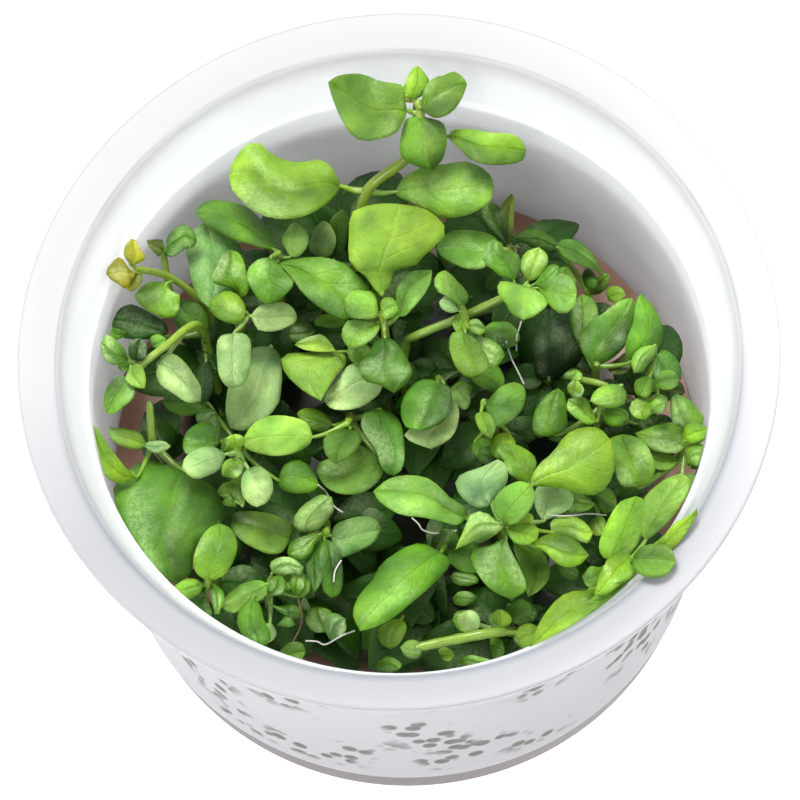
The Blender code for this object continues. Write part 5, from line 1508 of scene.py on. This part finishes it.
def make_gel():
    side_low = wall_radius(FLOOR + CORNER) - WALL - GAP
    side_high = wall_radius(GEL_EDGE) - WALL - GAP
    points = [
        (0.0, GEL_TOP),
        (side_high - 2.4, GEL_TOP),
        (side_high, GEL_EDGE),
        (side_low, FLOOR + GAP),
        (0.0, FLOOR + GAP),
    ]
    gel = turned("gel_salmon", rounded_profile(points, [0, 1.2, 0.3, CORNER, 0]), GEL)
    place(gel, "gel", "gel")


def make_filling():
    # Traced leaves that peep out between the larger ones. The outline gives
    # the shape, so of the plain leaf its size, heights and colour count.
    bag = Bag()
    for number, (base, one, tip, two, height, tone) in enumerate(FILLING):
        rng = random.Random("filling %d" % number)
        leaf = (0, 0, 0, 6, height - 0.8, height + 0.4, 6, "oval", 0, 0.5, tone)
        add_blade(bag, leaf, 0.0, rng, kind_of(tone), (base, one, tip, two[::-1]))
    place(linked("filling", bag.mesh("filling")), None, "leaf")


def place(piece, node, slot):
    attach(piece, "root")
    if node:
        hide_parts(node)


def kind_of(tone):
    if tone in ("deep", "dark", "low"):
        return 2
    return 1 if tone in ("mid", "grey", "olive", "old") else 0


def make_plants():
    paths = {name: stem_path(foot, seen) for name, _, foot, seen, _ in SHOOTS}
    bags = {name: Bag() for name in paths}
    lines = {name: [] for name in paths}
    own = []
    for shoot, number, _, fused, leaf, drop in settle():
        rng = random.Random("%s %d" % (shoot, number))
        base = along_sight(leaf[0], leaf[1], leaf[4])
        home = shoot or min(paths, key=lambda name: (nearest_on_path(paths[name], base) - base).length)
        bag = bags[home]
        stalks = lines[home]
        if shoot and not fused:
            node = "leaf_%s_%s" % (shoot, LETTERS[number])
            bag = Bag()
            stalks = []
            own.append((node, bag, stalks))
        outline = TRACED.get((shoot, number))
        base, tip, tone = add_blade(bag, leaf, drop, rng, kind_of(leaf[10]), outline)
        stalk = stalk_line(paths[home], base, tip, leaf[6], tone)
        if stalk:
            stalks.append(stalk)
    for name, radius, _, _, _ in SHOOTS:
        rng = random.Random(name)
        lines[name].append(stem_line(paths[name], radius, rng))
        stems = tubes("stem_" + name, lines[name], 10, STEM)
        meshes = [stems]
        if bags[name].verts:
            leaves = bags[name].mesh("blades_" + name)
            meshes = [leaves, stems]
        place(joined("plant_" + name, meshes), "shoot_" + name, "stem")
    for node, bag, stalks in own:
        meshes = [bag.mesh(node + "_blade")]
        if stalks:
            meshes.append(tubes(node + "_stalk", stalks, 8, STEM))
        place(joined(node.replace("leaf", "blade"), meshes), node, "leaf")
    return paths


def stem_line(path, radius, rng):
    points = smooth_path(path, 7)
    count = len(points) - 1
    radii = []
    for i in range(count + 1):
        share = i / count
        swell = 1 + 0.10 * math.cos(share * 5 * math.tau) ** 8
        radii.append(radius * (0.98 - 0.22 * share) * swell * (0.5 if i == count else 1.0))
    return points, radii, varied(TONES["stem"], rng)


def stalk_line(path, base, tip, width, tone):
    # A leaf's stalk, curving from its stem into the blade
    joint = nearest_on_path(path, base)
    reach = (base - joint).length
    if reach < 0.4:
        return None
    pull = joint.lerp(base, 0.55) + Vector((0, 0, -0.12 * reach))
    inside = base.lerp(tip, 0.12)
    points = smooth_path([joint, pull, base, inside], 4)
    thick = 0.26 + 0.02 * width
    last = len(points) - 1
    radii = [thick * (1.25 - 0.95 * i / last) for i in range(last + 1)]
    stalk = tuple(0.5 * a + 0.5 * b for a, b in zip(tone, TONES["stem"]))
    return points, radii, stalk


def plant_mesh():
    # The faces of every plant piece made so far
    verts = []
    faces = []
    for obj in bpy.context.scene.objects:
        if obj.name.startswith(("plant_", "blade_", "filling")):
            start = len(verts)
            verts.extend(vert.co / MM for vert in obj.data.vertices)
            faces.extend([tuple(start + i for i in face.vertices) for face in obj.data.polygons])
    return verts, faces


def make_undergrowth(paths):
    # Lower leaves, near-black as painted shade, with painted glints: pairs up the
    # stems, then one into each gap of the canopy that would show the gel, save at the open spots
    rng = random.Random(7)
    points = []
    aims = []
    fines = [smooth_path(path[1:], 6) for path in paths.values()]
    for fine in fines:
        for height in (29.0, 33.0, 37.0):
            seat = min(fine, key=lambda point: abs(point.z - height))
            turn = rng.uniform(0, math.tau)
            for half in (0.0, math.pi):
                length = rng.uniform(5.0, 8.0)
                around = turn + half + rng.uniform(-0.3, 0.3)
                aim = Vector((math.cos(around), math.sin(around), rng.uniform(0.0, 0.35))) * length
                end = seat + aim
                if math.hypot(end.x, end.y) < 38.0 and end.z < 41.5 and not hides_spot(seat, aim):
                    points.append(seat)
                    aims.append(aim)
    verts, faces = plant_mesh()
    canopy = BVHTree.FromPolygons(verts, faces)
    stops = [seat + aim * share for seat, aim in zip(points, aims) for share in (0.4, 0.7, 1.0)]
    for column in range(-19, 20):
        for row in range(-19, 18):
            x = column * 2.0 + rng.uniform(-0.6, 0.6)
            y = row * 2.0 + rng.uniform(-0.6, 0.6)
            aim = (along_sight(x, y, CANOPY) - EYE).normalized()
            if canopy.ray_cast(EYE, aim)[0]:
                continue
            spot = along_sight(x, y, rng.uniform(33.0, 40.0))
            if math.hypot(spot.x, spot.y) > 38.5:
                continue
            if any((spot - stop).length < 2.6 for stop in stops):
                continue
            seats = [point for fine in fines for point in fine if point.z < spot.z - 0.5]
            seat = min(seats, key=lambda point: (point - spot).length)
            reach = spot - seat
            if 2.0 < reach.length < 15.0:
                reach = reach * ((reach.length + rng.uniform(1.5, 3.0)) / reach.length)
                end = seat + reach
                if math.hypot(end.x, end.y) < 39.5 and not hides_spot(seat, reach):
                    points.append(seat)
                    aims.append(reach)
                    stops.extend(seat + reach * share for share in (0.55, 0.8, 1.0))
    mesh = bpy.data.meshes.new("undergrowth_points")
    mesh.from_pydata([point * MM for point in points], [], [])
    aim = mesh.attributes.new("aim", "FLOAT_VECTOR", "POINT")
    aim.data.foreach_set("vector", [part * MM for vector in aims for part in vector])
    bag = Bag()
    add_low_leaf(bag)
    seed = bpy.data.objects.new("low_leaf", bag.mesh("low_leaf"))
    made = grown("undergrowth", mesh, scatter_tree(), {"Leaf": seed, "Material": LEAVES[2], "Seed": 3})
    bpy.data.objects.remove(seed)
    made.shade_smooth()
    place(linked("undergrowth", made), None, "leaf")


def hides_spot(seat, aim):
    # Whether a lower leaf would lie before one of the open spots
    for share in (0.5, 0.8, 1.0):
        point = seat + aim * share
        seen = EYE + (point - EYE) * ((CANOPY - EYE.z) / (point.z - EYE.z))
        if any(math.hypot(seen.x - gap[0], seen.y - gap[1]) < gap[2] + 0.8 for gap in OPEN_SPOTS):
            return True
    return False


def add_low_leaf(bag):
    # A leaf of unit length along X, its stalk end at the origin
    across = 6
    along = 9
    verts = []
    uvs = []
    for layer in (1, -1):
        for j in range(along + 1):
            t = 0.5 - 0.5 * math.cos(math.pi * j / along)
            half = 0.30 * max(math.sin(math.pi * t) ** 0.6, 0.12)
            for i in range(across + 1):
                u = 2 * i / across - 1
                lift = 0.10 * abs(u) * half + 0.16 * t * (1 - t) * 4 - 0.10 * t ** 3
                thick = 0.020 * (1 - 0.7 * u * u)
                verts.append(Vector((0.12 + 0.88 * t, u * half, lift + layer * thick)) / MM)
                uvs.append((u * 0.5 + 0.5, t))
    # painted highlight: a glint on one side of each low leaf, towards its stalk end
    painted_glare = [0.50 * smooth_step((u - 0.5) * 4) * smooth_step((0.8 - t) * 3) for u, t in uvs]
    # painted shade: the low tone is near-black
    add_sheet(bag, verts, uvs, across, along, [(*TONES["low"], part) for part in painted_glare], 0)


def make_roots():
    # Fine threads that lie on whatever they cross, without falling into gaps
    verts, faces = plant_mesh()
    ground = BVHTree.FromPolygons(verts, faces)
    colours = {"white": [], "brown": []}
    for seen, colour in ROOTS:
        places = []
        for x, y in seen:
            aim = (Vector((x, y, CANOPY)) - EYE).normalized()
            hit = ground.ray_cast(EYE, aim)[0]
            places.append((x, y, hit.z if hit else 40.0))
        top = max(z for _, _, z in places)
        path = [along_sight(x, y, max(z, top - 3.0) + 0.25) for x, y, z in places]
        points = smooth_path(path, 6)
        colours[colour].append((points, [ROOT_THICK] * len(points), (0.8, 0.8, 0.75)))
    for colour, material in (("white", WHITE_ROOT), ("brown", BROWN_ROOT)):
        mesh = tubes("roots_" + colour, colours[colour], 6, material)
        mesh.shade_smooth()
        place(linked("roots_" + colour, mesh), None, "stem")


def make_floor():
    mesh = bpy.data.meshes.new("floor")
    reach = 1.5
    corners = [(-reach, -reach, 0), (reach, -reach, 0), (reach, reach, 0), (-reach, reach, 0)]
    mesh.from_pydata(corners, [], [(0, 1, 2, 3)])
    mesh.materials.append(floor_material())
    floor = linked("floor", mesh)


def lamp(name, place_at, size, power):
    light = bpy.data.lights.new(name, "AREA")
    light.shape = "SQUARE"
    light.size = size
    light.energy = power
    made = linked(name, light)
    made.location = place_at
    made.rotation_euler = (Vector(place_at) - LIT_AT).to_track_quat("Z", "Y").to_euler()


def make_light_and_camera():
    world = bpy.data.worlds.new("studio")
    world.use_nodes = True
    world.node_tree.nodes["Background"].inputs["Color"].default_value = (1, 1, 1, 1)
    world.node_tree.nodes["Background"].inputs["Strength"].default_value = 0.33
    bpy.context.scene.world = world
    lamp("key", (-0.10, 0.30, 0.62), 0.34, 5.0)
    lamp("side", (0.50, 0.05, 0.55), 0.30, 1.6)
    lamp("front", (-0.35, -0.40, 0.50), 0.30, 1.7)
    bpy.context.scene.view_settings.view_transform = "Standard"

    camera = linked("camera", bpy.data.cameras.new("camera"))
    target = Vector((-0.0002, 0.0, 0.0437))
    camera.location = target + Vector((0, -math.cos(TILT), math.sin(TILT))) * VIEW_DISTANCE
    facing = (camera.location - target).to_track_quat("Z", "Y").to_matrix()
    facing = facing @ Matrix.Rotation(ROLL, 3, "Z")
    camera.rotation_euler = facing.to_euler()
    camera.data.sensor_width = 36.0
    camera.data.lens = LENS
    camera.data.clip_start = 0.01
    bpy.context.scene.camera = camera


make_light_and_camera()
LEAVES = [
    leaf_material("leaf_bright", (0.36, 0.62, 0.04, 1.0), 0.22, 0.19, 0.42, 1.0),
    leaf_material("leaf_green", (0.18, 0.44, 0.03, 1.0), 0.15, 0.17, 0.36, 1.0),
    leaf_material("leaf_dark", (0.05, 0.15, 0.01, 1.0), 0.04, 0.12, 0.25, 0.8),
]
STEM = stem_material()
CUP_PLASTIC = cup_material()
PAPER = label_material()
GEL = gel_material()
WHITE_ROOT = root_material("white_root", (0.80, 0.79, 0.70))
BROWN_ROOT = root_material("brown_root", (0.22, 0.13, 0.05))
TUBES = tube_tree()
make_cup()
make_label()
make_gel()
PATHS = make_plants()
make_filling()
make_undergrowth(PATHS)
make_roots()
make_floor()
